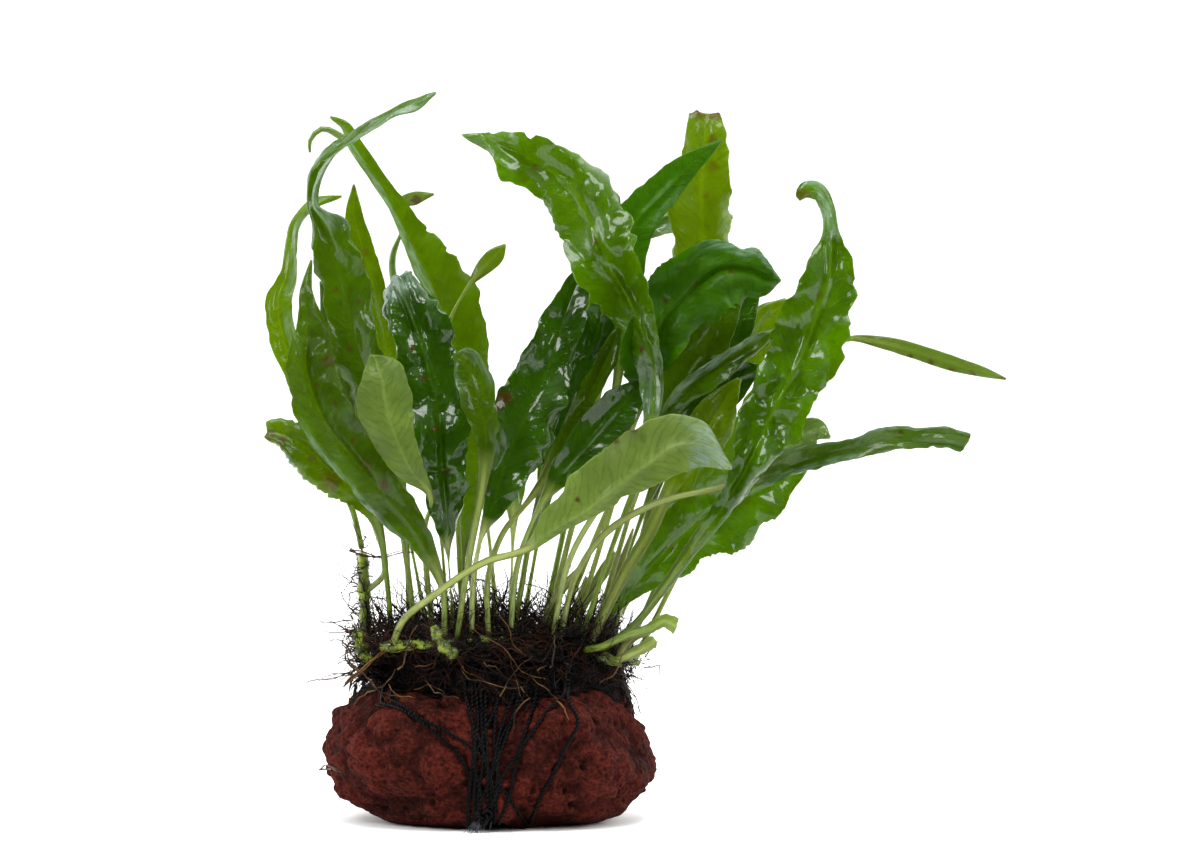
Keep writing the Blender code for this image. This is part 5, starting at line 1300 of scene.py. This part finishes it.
class Ground:
    """What lies under the plant: the surfaces of the given pieces, felt out by rays."""

    def __init__(self, *pieces: bpy.types.Object) -> None:
        """Read the pieces' faces.

        Args:
            pieces: finished mesh pieces.
        """
        points, faces, start = [], [], 0
        for piece in pieces:
            mesh = piece.data
            place = np.zeros(len(mesh.vertices) * 3, np.float32)
            mesh.vertices.foreach_get("co", place)
            mesh.calc_loop_triangles()
            corners = np.zeros(len(mesh.loop_triangles) * 3, np.int32)
            mesh.loop_triangles.foreach_get("vertices", corners)
            points.append(place.reshape(-1, 3) / MM)
            faces.append(corners.reshape(-1, 3) + start)
            start += len(mesh.vertices)
        self.tree = BVHTree.FromPolygons(np.concatenate(points).tolist(), np.concatenate(faces).tolist())
        self.x, self.y = np.arange(-50, 90, 1.5), np.arange(-48, 48.1, 1.5)
        drops = [[self.tree.ray_cast(Vector((x, y, 99)), Vector((0, 0, -1)))[0] for y in self.y] for x in self.x]
        self.table = np.array([[hit.z if hit else 0.0 for hit in row] for row in drops])

    def height(self, plan: np.ndarray) -> np.ndarray:
        """The height of the top surface, blended between the four nearest points of a 1.5 mm grid.

        Args:
            plan: x and y in millimetres, in the last axis.

        Returns:
            z in millimetres.
        """
        i = np.clip((plan[..., 0] - self.x[0]) / 1.5, 0, len(self.x) - 1.001)
        j = np.clip((plan[..., 1] - self.y[0]) / 1.5, 0, len(self.y) - 1.001)
        low_i, low_j = i.astype(int), j.astype(int)
        i, j = i - low_i, j - low_j
        near = self.table[low_i, low_j] * (1 - j) + self.table[low_i, low_j + 1] * j
        far = self.table[low_i + 1, low_j] * (1 - j) + self.table[low_i + 1, low_j + 1] * j
        return near * (1 - i) + far * i


@dataclass
class BindingThread:
    """Black two-ply cotton, wound round the stone and roots and knotted at the foot."""

    heart: float = 24.0
    ply_radius: float = 0.38
    ply_offset: float = 0.36
    twist_mm: float = 3.4
    # How far across each turn lies up the back, at back_angles, and down the front, by height
    back_angles: tuple = (-180, -148, -126, -90, 0, 40)
    front_angles: tuple = (48, 60, 69, 80, 95, 107, 118, 127, 138, 150)
    front_heights: tuple = (48, 44, 38, 30, 20, 12, 6, 3, 0, -1.4)
    turns: tuple = (
        ((-1, -2.8, -5, -22, -33, -36), ((46, -36.4), (38, -23.8), (27, -10.5), (19, -6.1), (6.5, -7.5), (0, -6.8))),
        ((-0.6, -2, -3.2, -13, -28, -33), ((46, -33.3), (38, -23.1), (35, -17), (29, -6.1), (23, -0.3), (8, 1.5), (0, 0))),
        ((-0.3, -1, -1.6, -5, -10, -6), ((46, -5.6), (36, -5.6), (25, -4.4), (12, -5), (0, -3.6))),
        ((0, -0.4, -0.6, -2, -7, -5), ((46, -4.2), (36, -3.6), (25, -5.5), (12, -2.2), (0, -5.2))),
        ((0, 0, 0.4, 1, -3, -3), ((46, -2.6), (36, -2.4), (25, -1.8), (12, -3.8), (0, -1.8))),
        ((0.2, 0, 0.8, 4, 2, 0), ((46, -1), (36, -1.2), (25, -0.4), (12, -0.6), (0, 1.6))),
        ((0.3, 0.4, 1, 6, 6, 9), ((47, 9.5), (33, 3.4), (21, 1), (6.5, -0.3), (0, 0.6))),
        ((0.4, 0.6, 1.2, 8, 10, 14), ((48, 14.3), (38, 7.1), (30, 3.4), (14, 2.7), (6, -2.6), (0, -2.6))),
        ((0.6, 1, 1.6, 11, 14, 16), ((46, 16), (42, 15), (35, 12.9), (26, 9.5), (20, 5.1), (9, 0.6), (0, 2.6))),
        ((0.9, 2, 3.2, 19, 20, 26), ((46, 25.6), (37, 17.3), (29, 11.2), (21, 8.8), (13, 7.1), (6, 3.4), (0, 3.4))),
        ((1.2, 2.8, 5, 27, 26, 27), ((46, 26.6), (44, 27.5), (38, 30.6), (34, 29.9), (30, 26.9), (19, 21.4),
                                    (11, 16.7), (3, 13.6), (-1, 9))),
        ((0.8, 1.8, 2.6, 15, 8, 4), ((46, 3), (30, 1.6), (17, 3.4), (10, 8.8), (2.7, 13.2), (-1, 10))),
        ((-0.2, -0.6, -1, -3, -8, -8), ((46, -8), (36, -5.5), (25, -1), (12, 2.4), (0, 1.2))),
        ((0.1, 0.2, 0.6, 2.5, -1, 4), ((46, 4.6), (36, -0.4), (25, -5.2), (12, -7), (0, -6.2))),
        ((0.25, 0.1, 0.9, 5, 8, 10), ((46, 10.5), (33, 6.2), (21, 1.8), (10, -3.6), (0, -3))),
    )  # fmt: skip
    finish: StrandFinish = StrandFinish("cotton_thread_spun_black", "#010101", "#050507", 0.45, 3.0, 0.08, 0.04)
    frayed: StrandFinish = StrandFinish("cotton_fibre_frayed", "#0c0d10", "#565c66", 0.6, 2.0)
    knot_height: float = 6.0
    fray_fibres: int = 26

    def reach(self, tree: BVHTree, across: np.ndarray) -> np.ndarray:
        """How far the stone and mat reach from the stone's long axis at even angles round it.

        The reach is that of the tightest outline with no hollow in it: with h(b) the furthest that
        any found point reaches in direction b, it is the least of h(b) / cos(a - b) over b.

        Args:
            tree: the faces of what the thread is wound on.
            across: the place across, at each of the even angles.

        Returns:
            A distance for each angle.
        """
        theta = np.arange(len(across)) * 2 * math.pi / len(across)
        found = []
        for place, angle in zip(across, theta):
            outward = Vector((0, -math.sin(angle), math.cos(angle)))
            heart = Vector((place + ORIGIN_ACROSS, 0, self.heart))
            hit = tree.ray_cast(heart + outward * 100, -outward)[0]
            found.append((hit - heart).length if hit else 24.0)
        found = np.array(found)
        push = (found[:, None] * np.cos(theta[:, None] - theta)).max(axis=0)
        facing = np.cos(theta[:, None] - theta)
        hull = np.where(facing > 0.2, push / np.maximum(facing, 0.2), np.inf).min(axis=1)
        return 0.45 * hull + 0.55 * np.minimum(hull, found + 0.8)

    def turn(self, tree: BVHTree, back: tuple, front: tuple) -> np.ndarray:
        """One turn's middle line.

        Args:
            tree: the faces of what it is wound on.
            back: how far across it lies at back_angles.
            front: (height, across) down the front.

        Returns:
            Points in millimetres.
        """
        degrees = np.arange(-180, 180, 2)
        heights, places = np.array(front).T
        down = np.interp(heights, self.front_heights[::-1], self.front_angles[::-1])
        across = np.interp(degrees, np.append(self.back_angles, down), np.append(back, places))
        soft = np.hanning(7) / np.hanning(7).sum()
        across = np.convolve(np.pad(across, 3, "edge"), soft, "valid")
        half = len(degrees) // 2
        radius = np.roll(self.reach(tree, np.roll(across, half)), half)
        radius = np.convolve(np.pad(radius, 2, "wrap"), np.hanning(7)[1:-1] / 3, "valid")
        radius = radius + self.ply_radius + self.ply_offset - 0.2
        theta = np.radians(degrees)
        path = np.stack((across + ORIGIN_ACROSS, -radius * np.sin(theta), self.heart + radius * np.cos(theta)), axis=1)
        path[:, 2] = np.maximum(path[:, 2], self.ply_radius + self.ply_offset + 0.1)
        run = np.concatenate(([0.0], np.cumsum(np.linalg.norm(np.diff(path, axis=0), axis=1))))
        at = np.linspace(0, run[-1], 480)
        return np.stack([np.interp(at, run, path[:, i]) for i in range(3)], axis=1)

    def build(self, ground: Ground) -> bpy.types.Object:
        """Make the thread: two plies a turn, each path + offset (first cos a + second sin a).

        Args:
            ground: what it is wound on.

        Returns:
            The piece that stands for the node "binding_thread".
        """
        paths = np.array([self.turn(ground.tree, *turn) for turn in self.turns])
        first, second = frames(paths)
        step = np.linalg.norm(np.diff(paths, axis=1), axis=2)
        run = np.concatenate((np.zeros((len(paths), 1)), np.cumsum(step, axis=1)), axis=1)
        plies = []
        for phase in (0, math.pi):
            angle = (run * 2 * math.pi / self.twist_mm + phase)[..., None]
            plies.append(paths + self.ply_offset * (first * np.cos(angle) + second * np.sin(angle)))
        plies = np.concatenate(plies)
        radius = np.full(plies.shape[:2], self.ply_radius)
        piece = bundle("cotton_thread", tubes(plies, radius, 6), self.finish.material())
        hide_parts("binding_thread")
        self.knot(ground.tree)
        return piece

    def knot(self, tree: BVHTree) -> None:
        """The knot at the foot and the frayed ends below it.

        The knot is the trefoil sin t + 2 sin 2t, cos t - 2 cos 2t, sin 3t. A frayed fibre falls and
        spreads as start + (sideways s, outward s, -down s^2).

        Args:
            tree: the faces of the stone.
        """
        x = ORIGIN_ACROSS - 1.5
        front = tree.ray_cast(Vector((x, -90, self.knot_height)), Vector((0, 1, 0)))[0].y - 1.6
        t = np.linspace(0, 2 * math.pi, 96) + 0.4
        loops = np.stack((np.sin(t) + 2 * np.sin(2 * t), 0.9 * np.sin(3 * t), np.cos(t) - 2 * np.cos(2 * t)), axis=-1)
        heart = np.array((x, front, self.knot_height))
        paths = np.stack([heart + loops * size for size in ((0.95, 0.8, 0.8), (0.7, 1.0, 1.0))])
        bundle("thread_knot", tubes(paths, np.full(paths.shape[:2], 0.5), 7), self.finish.material())
        chance = np.random.default_rng(77)
        start = heart + (-2.0, 1.0, -3.0) + chance.normal(0, (1.2, 0.3, 0.6), (self.fray_fibres, 3))
        s = np.linspace(0, 1, 9)[:, None]
        spread = chance.normal((-0.9, -2.2, -1.0), (1.8, 0.8, 0.6), (self.fray_fibres, 3))
        curl = 0.5 * np.stack([Grain(80 + i).at(start[:, None] + s * spread[:, None] * 2, 1.5) for i in range(3)], axis=-1)
        fibres = start[:, None] + spread[:, None] * s - (0, 0, 2.2) * s**2 + curl * s
        fibres[..., 2] = np.maximum(fibres[..., 2], 0.2)
        radius = 0.11 * (1 - 0.5 * s[:, 0]) * np.ones((self.fray_fibres, 1))
        bundle("thread_frayed_ends", tubes(fibres, radius, 4), self.frayed.material())


@dataclass
class RhizomeSet:
    """The creeping stems: knobbly, yellow-green, with scars and brown hairs."""

    radius: float = 2.0
    rings: int = 90
    around: int = 20
    hairs: int = 2200
    finish: StrandFinish = StrandFinish("fern_rhizome_grown", "#3c4a0c", "#8fa424", 0.45, 4.0, 0.3, 0.3)
    hair: StrandFinish = StrandFinish("rhizome_hair_brown", "#1c0e06", "#4a2c16", 0.6, gloss=0.2)

    def middle(self, route: tuple) -> np.ndarray:
        """A rhizome's middle line as self.rings even points."""
        path = through(in_space(route), 1.0)
        at = np.linspace(0, len(path) - 1, self.rings)
        return np.stack([np.interp(at, np.arange(len(path)), path[:, i]) for i in range(3)], axis=1)

    def build(self) -> dict[str, np.ndarray]:
        """Make each rhizome: a tube whose radius swells into knobs, 1 + 0.16 sin(19 s), with warts.

        Returns:
            Points along each of them, in millimetres, by its name.
        """
        material = self.finish.material()
        paths = {}
        for name, route in RHIZOMES.items():
            path = self.middle(route)
            share = np.linspace(0, 1, self.rings)
            knobs = 1 + 0.16 * np.sin(share * 19 + len(name))
            taper = np.minimum(1, 0.3 + 6 * np.minimum(share, 1 - share)) ** 0.5
            rings = tubes(path[None], (self.radius * knobs * taper)[None], self.around)
            warts = 0.35 * Grain(40).layered(rings, 2.4, 2)
            rings += unit(rings - path[None, :, None]) * warts[..., None]
            piece = bundle(f"stem_{name}", rings, material)
            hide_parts(name)
            paths[name] = path
        self.coat(np.concatenate(list(paths.values())))
        return paths

    def coat(self, paths: np.ndarray) -> bpy.types.Object:
        """Short brown hairs that stand off the rhizomes.

        Args:
            paths: points along the rhizomes.

        Returns:
            The piece.
        """
        chance = np.random.default_rng(7)
        root = paths[chance.integers(0, len(paths), self.hairs)]
        heading = unit(chance.normal(0, 1, (self.hairs, 3)))
        bend = chance.normal(0, 0.5, (self.hairs, 3))
        s = np.linspace(0, 1, 5)[:, None]
        length = chance.uniform(1.5, 4.0, self.hairs)[:, None, None]
        path = root[:, None] + heading[:, None] * (self.radius * 0.8 + length * s) + bend[:, None] * s * s * 2
        radius = 0.13 * (1 - 0.8 * s[:, 0]) * np.ones((self.hairs, 1))
        return bundle("rhizome_hairs", tubes(path, radius, 3), self.hair.material())


@dataclass
class FrondBuilder:
    """Makes the leaves and cut stalks: thin blades with a raised midrib, pillowed and blistered."""

    step: float = 1.0
    stalk_step: float = 2.4
    rhizome_radius: float = 2.0
    lamina: float = 0.17
    ring: tuple = (
        0.0, 0.05, 0.11, 0.19, 0.28, 0.38, 0.48, 0.58, 0.67, 0.75, 0.82, 0.88, 0.93, 0.97, 1.0,
    )  # fmt: skip

    def rows(self, frond: Frond) -> np.ndarray:
        """A frond's rows in space, starting just inside its rhizome.

        Args:
            frond: the leaf.

        Returns:
            Rows of x, y, z, left, right and turn.
        """
        rows = np.array(frond.rows, float)
        rows[:, :3] = in_space(rows)
        stem = through(in_space(RHIZOMES[frond.grows_on]), 1.0)
        heart = stem[np.argmin(np.linalg.norm(stem - rows[0, :3], axis=1))]
        rows[0, :3] = heart + unit(rows[1, :3] - heart) * self.rhizome_radius * 0.7
        return rows

    def surface(self, frond: Frond, seed: int, crumple: float) -> tuple[np.ndarray, ...]:
        """A frond's surface as rings: the front from its left edge to its right, then the back.

        With v from -1 at the left edge to 1 at the right, a point is middle + |v| w (side cos f
        + facing sin f) for its half's width w and fold f, plus facing times the sum of a ruffle
        r w v^2 sin(9 pi s), a pillow 0.1 w (|v| - v^2), blisters of 5 mm grain, and the half
        thickness, which is the round stalk's sqrt(1 - v^2) or the thin blade's with its midrib.

        Args:
            frond: the leaf.
            seed: makes its blisters its own.
            crumple: how strongly it is crumpled and blistered.

        Returns:
            Rings in millimetres, places on the blade, and the four numbers of "dress".
        """
        rows = self.rows(frond)
        broad = np.maximum(rows[1:, 3:5], rows[:-1, 3:5]).max(axis=1) > 1.7
        rows = through(rows, np.where(broad, self.step, self.stalk_step))
        middle, turn = rows[:, :3], np.radians(rows[:, 5])
        left, right = np.maximum(rows[:, 3], 0.3), np.maximum(rows[:, 4], 0.3)
        along = unit(np.gradient(middle, axis=0))
        facing = np.array((0.0, -1.0, 0.0))
        facing = unit(facing - (along @ facing)[:, None] * along)
        side = np.cross(along, facing)
        cos, sin = np.cos(turn)[:, None], np.sin(turn)[:, None]
        side, facing = side * cos + facing * sin, facing * cos - side * sin
        share = np.linspace(0, 1, len(rows))
        blade = np.clip((np.maximum(left, right) - 1.5) / 3, 0, 1)
        run = np.concatenate(([0.0], np.cumsum(np.linalg.norm(np.diff(middle, axis=0), axis=1))))
        edges = np.stack([np.stack((run, run * 0 + 37 * n, run * 0), axis=-1) for n in (1, 2)], axis=1)
        grain = Grain(seed)
        middle = middle + side * (blade * 1.1 * grain.at(edges[:, 0] + 300, 16))[:, None]
        torn = 0.9 * np.clip(grain.at(edges + 900, 4.5) - 0.55, 0, 1)
        teeth = np.abs(np.sin((edges[..., 0] + 0.03 * edges[..., 1]) * math.pi / 2.6)) - 0.6
        scallop = 0.2 * grain.at(edges, 9) + 0.12 * grain.at(edges, 3) + 0.04 * grain.at(edges + 60, 1.5)
        scallop = scallop - torn + frond.teeth * teeth
        scallop = 1 + blade[:, None] * min(1.2, 0.5 + 0.6 * crumple) * scallop
        curl = blade[:, None] * (0.7 * grain.at(edges + 500, 17) + 0.4 * grain.at(edges + 700, 8))

        half = np.array(self.ring)
        v = np.concatenate((-half[:0:-1], half))
        v = np.concatenate((v, v[-2:0:-1]))
        front = np.concatenate((np.ones(2 * len(half) - 1), -np.ones(2 * len(half) - 3)))
        width = np.where(v < 0, (left * scallop[:, 0])[:, None], (right * scallop[:, 1])[:, None])
        fold = np.where(v < 0, *(np.radians(angle) * blade[:, None] for angle in frond.fold))
        wave = frond.ruffle * np.sin(share * 9 * math.pi)[:, None] * np.where(v < 0, 1, -1)
        wave = wave + crumple * np.where(v < 0, curl[:, :1], curl[:, 1:]) * np.abs(v) ** 2
        reach = np.abs(v) * width
        out = np.where(v < 0, -1, 1) * reach * np.cos(fold)
        rise = reach * (np.sin(fold) + blade[:, None] * wave * np.abs(v))
        rise += 0.1 * width * (np.abs(v) - v * v) * blade[:, None]
        points = middle[:, None] + side[:, None] * out[..., None] + facing[:, None] * rise[..., None]
        sheet = blade[:, None] * np.clip(reach / 2.5 + 0.25, 0, 1)
        veins = np.abs(np.sin(math.pi * (run[:, None] - 0.9 * reach + 1.3 * grain.at(points + 30, 9)) / 4.4))
        patch = np.clip(0.75 + 1.1 * grain.at(points + 120, 24), 0.25, 1.5)
        blister = crumple * (4.6 * grain.at(points, 16) + 2.2 * patch * (np.abs(grain.at(points + 50, 9)) - 0.4)
                             + 0.7 * patch * (np.abs(grain.at(points + 90, 4.6)) - 0.4))  # fmt: skip
        blister = sheet * (blister + 0.2 * (veins - 0.6) * np.clip(reach / 3, 0, 1))
        stalk_half = np.maximum(left.clip(0, 1), 0.4)[:, None] * (1 - 0.3 * share[:, None] * blade[:, None])
        round_half = stalk_half * np.sqrt(np.maximum(1 - v * v, 0))
        ridge = np.where(front > 0, 0.45, 0.9) * stalk_half * np.exp(-((reach / 0.9) ** 2))
        thin = (self.lamina + ridge) * np.sqrt(np.maximum(1 - v**8, 0))
        thick = round_half * (1 - blade[:, None]) + thin * blade[:, None]
        points = points + facing[:, None] * (blister + front * thick)[..., None]
        # A blunt end is a broken one, so its last few millimetres are jagged
        blunt = min(1.0, max(left[-1], right[-1]) / 4)
        tail = np.clip(1 - (run[-1] - run) / 5, 0, 1)[:, None] ** 2
        jag = grain.at(np.stack((np.sign(v) * reach + 200, 0 * reach, 0 * reach), axis=-1), 1.9)
        points = points + along[:, None] * (2.6 * blunt * tail * jag)[..., None]
        uv = np.stack((np.broadcast_to(run[:, None], reach.shape), np.sign(v) * reach), axis=-1) / 100
        dress = np.zeros(reach.shape + (4,))
        grown = np.maximum.accumulate(blade)[:, None]
        dress[..., 0] = np.abs(v) * grown
        dress[..., 2] = np.random.default_rng(seed).uniform(0.0, 0.3)
        dress[..., 3] = 1 - np.clip(grown * 1.6, 0, 1)
        return points, uv, dress

    def build(self, name: str, frond: Frond, seed: int) -> bpy.types.Object:
        """Make one frond.

        Args:
            name: the node that it stands for.
            frond: its table.
            seed: what makes its surface its own.

        Returns:
            The piece.
        """
        rings, uv, dress = self.surface(frond, seed, CRUMPLES.get(name, 0.7))
        seen = as_written(rings)
        for across, up, reach in MARKS.get(name, ()):
            off = np.linalg.norm(seen - (across, up), axis=-1)
            dress[..., 1] = np.maximum(dress[..., 1], np.exp(-((off / reach) ** 2)))
        along = uv[..., 0] / uv[..., 0].max()
        # Painted sheen: where a blade would mirror the lights on its wet folds, the second dress number is made
        # negative, which paints silver-grey
        for start, end, side, inner, strength in PAINTED_SHEENS.get(name, ()):
            sheen_share = np.clip((along - start) / 0.04, 0, 1) * np.clip((end - along) / 0.04, 0, 1)
            sheen_share = sheen_share * np.clip((dress[..., 0] - inner) / 0.12, 0, 1) * (side * uv[..., 1] >= 0)
            dress[..., 1] -= strength * sheen_share * (dress[..., 1] < 0.2)
        material = LOOKS.get(name, LEAF_FINISHES[frond.kind]).material()
        piece = bundle(f"fern_{name}", rings[None], material, uv[None], dress[None])
        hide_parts(name)
        return piece


# How strongly each blade is crumpled, where it isn't the common 0.7
CRUMPLES = {
    "leaf_front_underside": 0.35, "leaf_left_pale_back": 0.45, "leaf_centre_pointed": 0.4,
    "leaf_tall_folded": 0.4, "leaf_left_torn": 1.5, "leaf_right_tall_glossy": 1.55,
    "leaf_left_upright": 0.5, "leaf_far_right_thin": 0.3, "leaf_left_glossy": 1.3,
    "leaf_left_tall": 0.9, "leaf_centre_left_bright": 0.6, "leaf_centre_tall_bright": 1.35,
    "leaf_front_left_wide": 0.75, "leaf_centre_deep_green": 0.75, "leaf_right_low_wide": 0.6,
    "leaf_far_right_folded": 1.0, "leaf_right_dark_pointed": 1.2, "leaf_centre_shaded": 0.3,
}  # fmt: skip

# Brown damaged spots on the blades, as (across, up, reach)
MARKS = {
    "leaf_front_left_wide": ((-54.4, 156, 2.5), (-35.4, 114, 2.2), (-52, 141, 1.4), (-46, 129, 1.2),
                             (-41, 121, 1.6), (-58, 148, 1.2)),
    "leaf_left_torn": ((-53.4, 115.6, 4.5), (-70, 129, 2), (-60, 123, 1.8), (-74, 131, 2.2)),
    "leaf_left_glossy": ((-22, 150, 1.4), (-18, 133, 1.6), (-14, 118, 1.4), (-26, 160, 1.2)),
    "leaf_left_tall": ((-47, 160, 1.5), (-44, 176, 1.2), (-52, 180, 1.4)),
    "leaf_centre_deep_green": ((5.4, 143.5, 3.5), (3, 140, 2)),
    "leaf_centre_tall_bright": ((15.5, 221, 1.6), (36, 196, 1.4), (52, 160, 1.4), (12, 217, 1.2)),
    "leaf_front_underside": ((43.2, 128.9, 1.6), (49, 132.3, 1.6), (13.6, 101.3, 2), (30, 109, 1.2)),
    "leaf_centre_torn_top": ((71.7, 241, 4), (76.5, 240.5, 4), (76.2, 222, 2.5), (76, 231, 2.2),
                             (74, 212, 1.6), (69, 242, 3)),
    "leaf_right_dark_pointed": ((70, 182, 1.4), (60, 176, 1.6), (82, 186, 1.3)),
    "leaf_right_low_wide": ((62, 92, 1.4), (76, 100, 1.5), (88, 108, 1.2)),
    "leaf_left_upright": ((-41.8, 193, 2), (-46, 215, 2)),
    "leaf_right_tall_glossy": ((107.4, 211.8, 3), (105, 212, 3), (112, 178, 1.2)),
    "leaf_back_olive_tip": ((-25, 211, 2.5),),
    "leaf_far_right_folded": ((164, 130, 1.8), (164.5, 125, 1.8), (158, 134, 1.4), (140, 132, 1.2)),
    "leaf_far_right_thin": ((176, 149.5, 3.2), (150, 155.5, 1.5), (157, 152.5, 1.8), (164, 151, 2), (143, 157.5, 1.3)),
}


# Where a blade gets a painted sheen: silver-grey colour that stands in for the lights' reflection
# off its wet underside or folded rim, as (start, end, side, inner, strength): shares of its length,
# -1 for its left half, 1 for its right, 0 for both, and the share of the half's width where it begins
PAINTED_SHEENS = {
    "leaf_left_tall": ((0.66, 1.04, 1, 0.1, 0.75), (0.7, 0.92, -1, 0.45, 0.5)),
    "leaf_far_left_curled": ((0.46, 0.64, 1, 0.2, 0.65), (0.66, 0.92, 1, 0.1, 0.6)),
    "leaf_tall_folded": ((0.52, 0.97, -1, 0.06, 0.9),),
    "leaf_left_glossy": ((0.93, 1.04, 0, -0.2, 0.85),),
    "leaf_right_tall_glossy": ((0.86, 1.04, 0, -0.2, 0.9),),
    "leaf_front_underside": ((0.86, 1.04, 0, -0.2, 0.95),),
    "leaf_front_left_wide": ((0.25, 0.66, -1, 0.72, 0.6),),
    "leaf_centre_left_bright": ((0.84, 1.04, 0, 0.6, 0.45),),
    "leaf_far_right_folded": ((0.55, 0.8, 1, 0.35, 0.85), (0.6, 1.04, -1, 0.72, 0.6)),
    "leaf_right_folded": ((0.68, 1.04, -1, 0.2, 0.65),),
    "leaf_centre_tall_bright": ((0.36, 0.53, 0, 0.15, 0.55), (0.97, 1.04, 0, -0.2, 0.7)),
    "leaf_back_ribbed": ((0.5, 1.04, 0, 0.2, 0.5),),
    "leaf_right_dark_pointed": ((0.84, 1.02, -1, 0.62, 0.6),),
}


@dataclass(frozen=True)
class SoftBox:
    """A softbox: a flat square light aimed at the plant."""

    name: str
    place: tuple
    size: float
    power: float

    def build(self, aim: Vector) -> None:
        """Hang the light.

        Args:
            aim: what it points at, in metres.
        """
        light = bpy.data.lights.new(self.name, "AREA")
        light.size = self.size
        light.energy = self.power
        lamp = bpy.data.objects.new(self.name, light)
        lamp.location = self.place
        lamp.rotation_euler = (aim - Vector(self.place)).to_track_quat("-Z", "Y").to_euler()
        lamp.visible_camera = False
        bpy.context.scene.collection.objects.link(lamp)


@dataclass
class Studio:
    """The pale floor, the even white surround, the soft lights and the camera."""

    distance: float = 8.0
    target: tuple = (0.0537, 0.0, 0.1338)
    floor_half: float = 9.0
    floor_front: float = 0.26
    surround_front: float = 0.05
    surround_back: float = 2.6
    boxes: tuple = (
        SoftBox("key_above_left", (-0.55, -0.9, 0.85), 0.42, 8.0),
        SoftBox("fill_above_right", (0.7, -0.9, 0.7), 0.3, 3.0),
        SoftBox("top", (0.05, -0.4, 1.25), 0.7, 20.0),
        SoftBox("side_left", (-1.1, 0.3, 0.35), 0.7, 8.0),
        SoftBox("side_right", (1.1, 0.25, 0.35), 0.7, 8.0),
    )

    def floor(self) -> None:
        """A pale painted floor, slightly uneven in tone, that ends a little in front of the plant."""
        half, front = self.floor_half, -self.floor_front
        mesh = bpy.data.meshes.new("floor")
        mesh.from_pydata([(-half, front, 0), (half, front, 0), (half, half, 0), (-half, half, 0)], [], [(0, 1, 2, 3)])
        material, tree, output = new_material("floor_matt_paint")
        place = add_node(tree, "ShaderNodeTexCoord", {}).outputs["Object"]
        cloud = add_node(tree, "ShaderNodeTexNoise", {"Vector": place, "Scale": 2.0})
        tone = add_node(tree, "ShaderNodeMix", {0: cloud.outputs[0], 6: linear("#f4f4f2"),
                        7: linear("#fafaf8")}, data_type="RGBA")  # fmt: skip
        surface = add_node(tree, "ShaderNodeBsdfPrincipled", {"Base Color": tone.outputs[2], "Roughness": 0.9,
                           "IOR": 1.3})  # fmt: skip
        tree.links.new(surface.outputs[0], output.inputs[0])
        mesh.materials.append(material)
        thing = bpy.data.objects.new("floor", mesh)
        bpy.context.scene.collection.objects.link(thing)

    def camera(self) -> None:
        """The camera, SIGHT_ELEVATION above the horizon, PHOTO_WIDTH pixels of PIXEL mm across."""
        data = bpy.data.cameras.new("photo_camera")
        data.lens = data.sensor_width * self.distance / (PHOTO_WIDTH * PIXEL * MM)
        eye = bpy.data.objects.new("photo_camera", data)
        back = Vector((0, -math.cos(SIGHT_ELEVATION), math.sin(SIGHT_ELEVATION)))
        eye.location = Vector(self.target) + back * self.distance
        eye.rotation_euler = (math.pi / 2 - SIGHT_ELEVATION, 0, 0)
        bpy.context.scene.collection.objects.link(eye)
        bpy.context.scene.camera = eye

    def build(self) -> None:
        """Set up the studio."""
        self.floor()
        self.camera()
        for box in self.boxes:
            box.build(Vector(self.target))
        world = bpy.data.worlds.new("white_surround")
        world.use_nodes = True
        tree = world.node_tree
        heading = add_node(tree, "ShaderNodeTexCoord", {})
        heading = add_node(tree, "ShaderNodeSeparateXYZ", {0: heading.outputs["Generated"]})
        strength = add_node(tree, "ShaderNodeMapRange", {0: heading.outputs[1], 1: -0.7, 2: 0.7,
                            3: self.surround_front, 4: self.surround_back})  # fmt: skip
        # The wall behind is bright and the room in front is dark; the eye itself sees white all round
        seen = add_node(tree, "ShaderNodeLightPath", {}).outputs["Is Camera Ray"]
        strength = add_node(tree, "ShaderNodeMath", {0: strength.outputs[0], 1: seen}, operation="MAXIMUM")
        tree.nodes["Background"].inputs["Color"].default_value = linear("#ffffff")
        tree.links.new(strength.outputs[0], tree.nodes["Background"].inputs["Strength"])
        bpy.context.scene.world = world
        bpy.context.scene.view_settings.view_transform = "Standard"


def main() -> None:
    """Build the plant from the stone up, then the studio round it."""
    logging.basicConfig(level=logging.INFO, format="%(message)s")
    stone = LavaStone().build()
    felt = RootFelt()
    core = felt.core()
    ground = Ground(stone, core)
    BindingThread().build(ground)
    stems = RhizomeSet().build()
    felt.build(ground, stems)
    fronds = FrondBuilder()
    for seed, (name, frond) in enumerate({**FRONDS, **STUBS}.items(), 300):
        fronds.build(name, frond, seed)
    Studio().build()


if __name__ == "__main__":
    main()
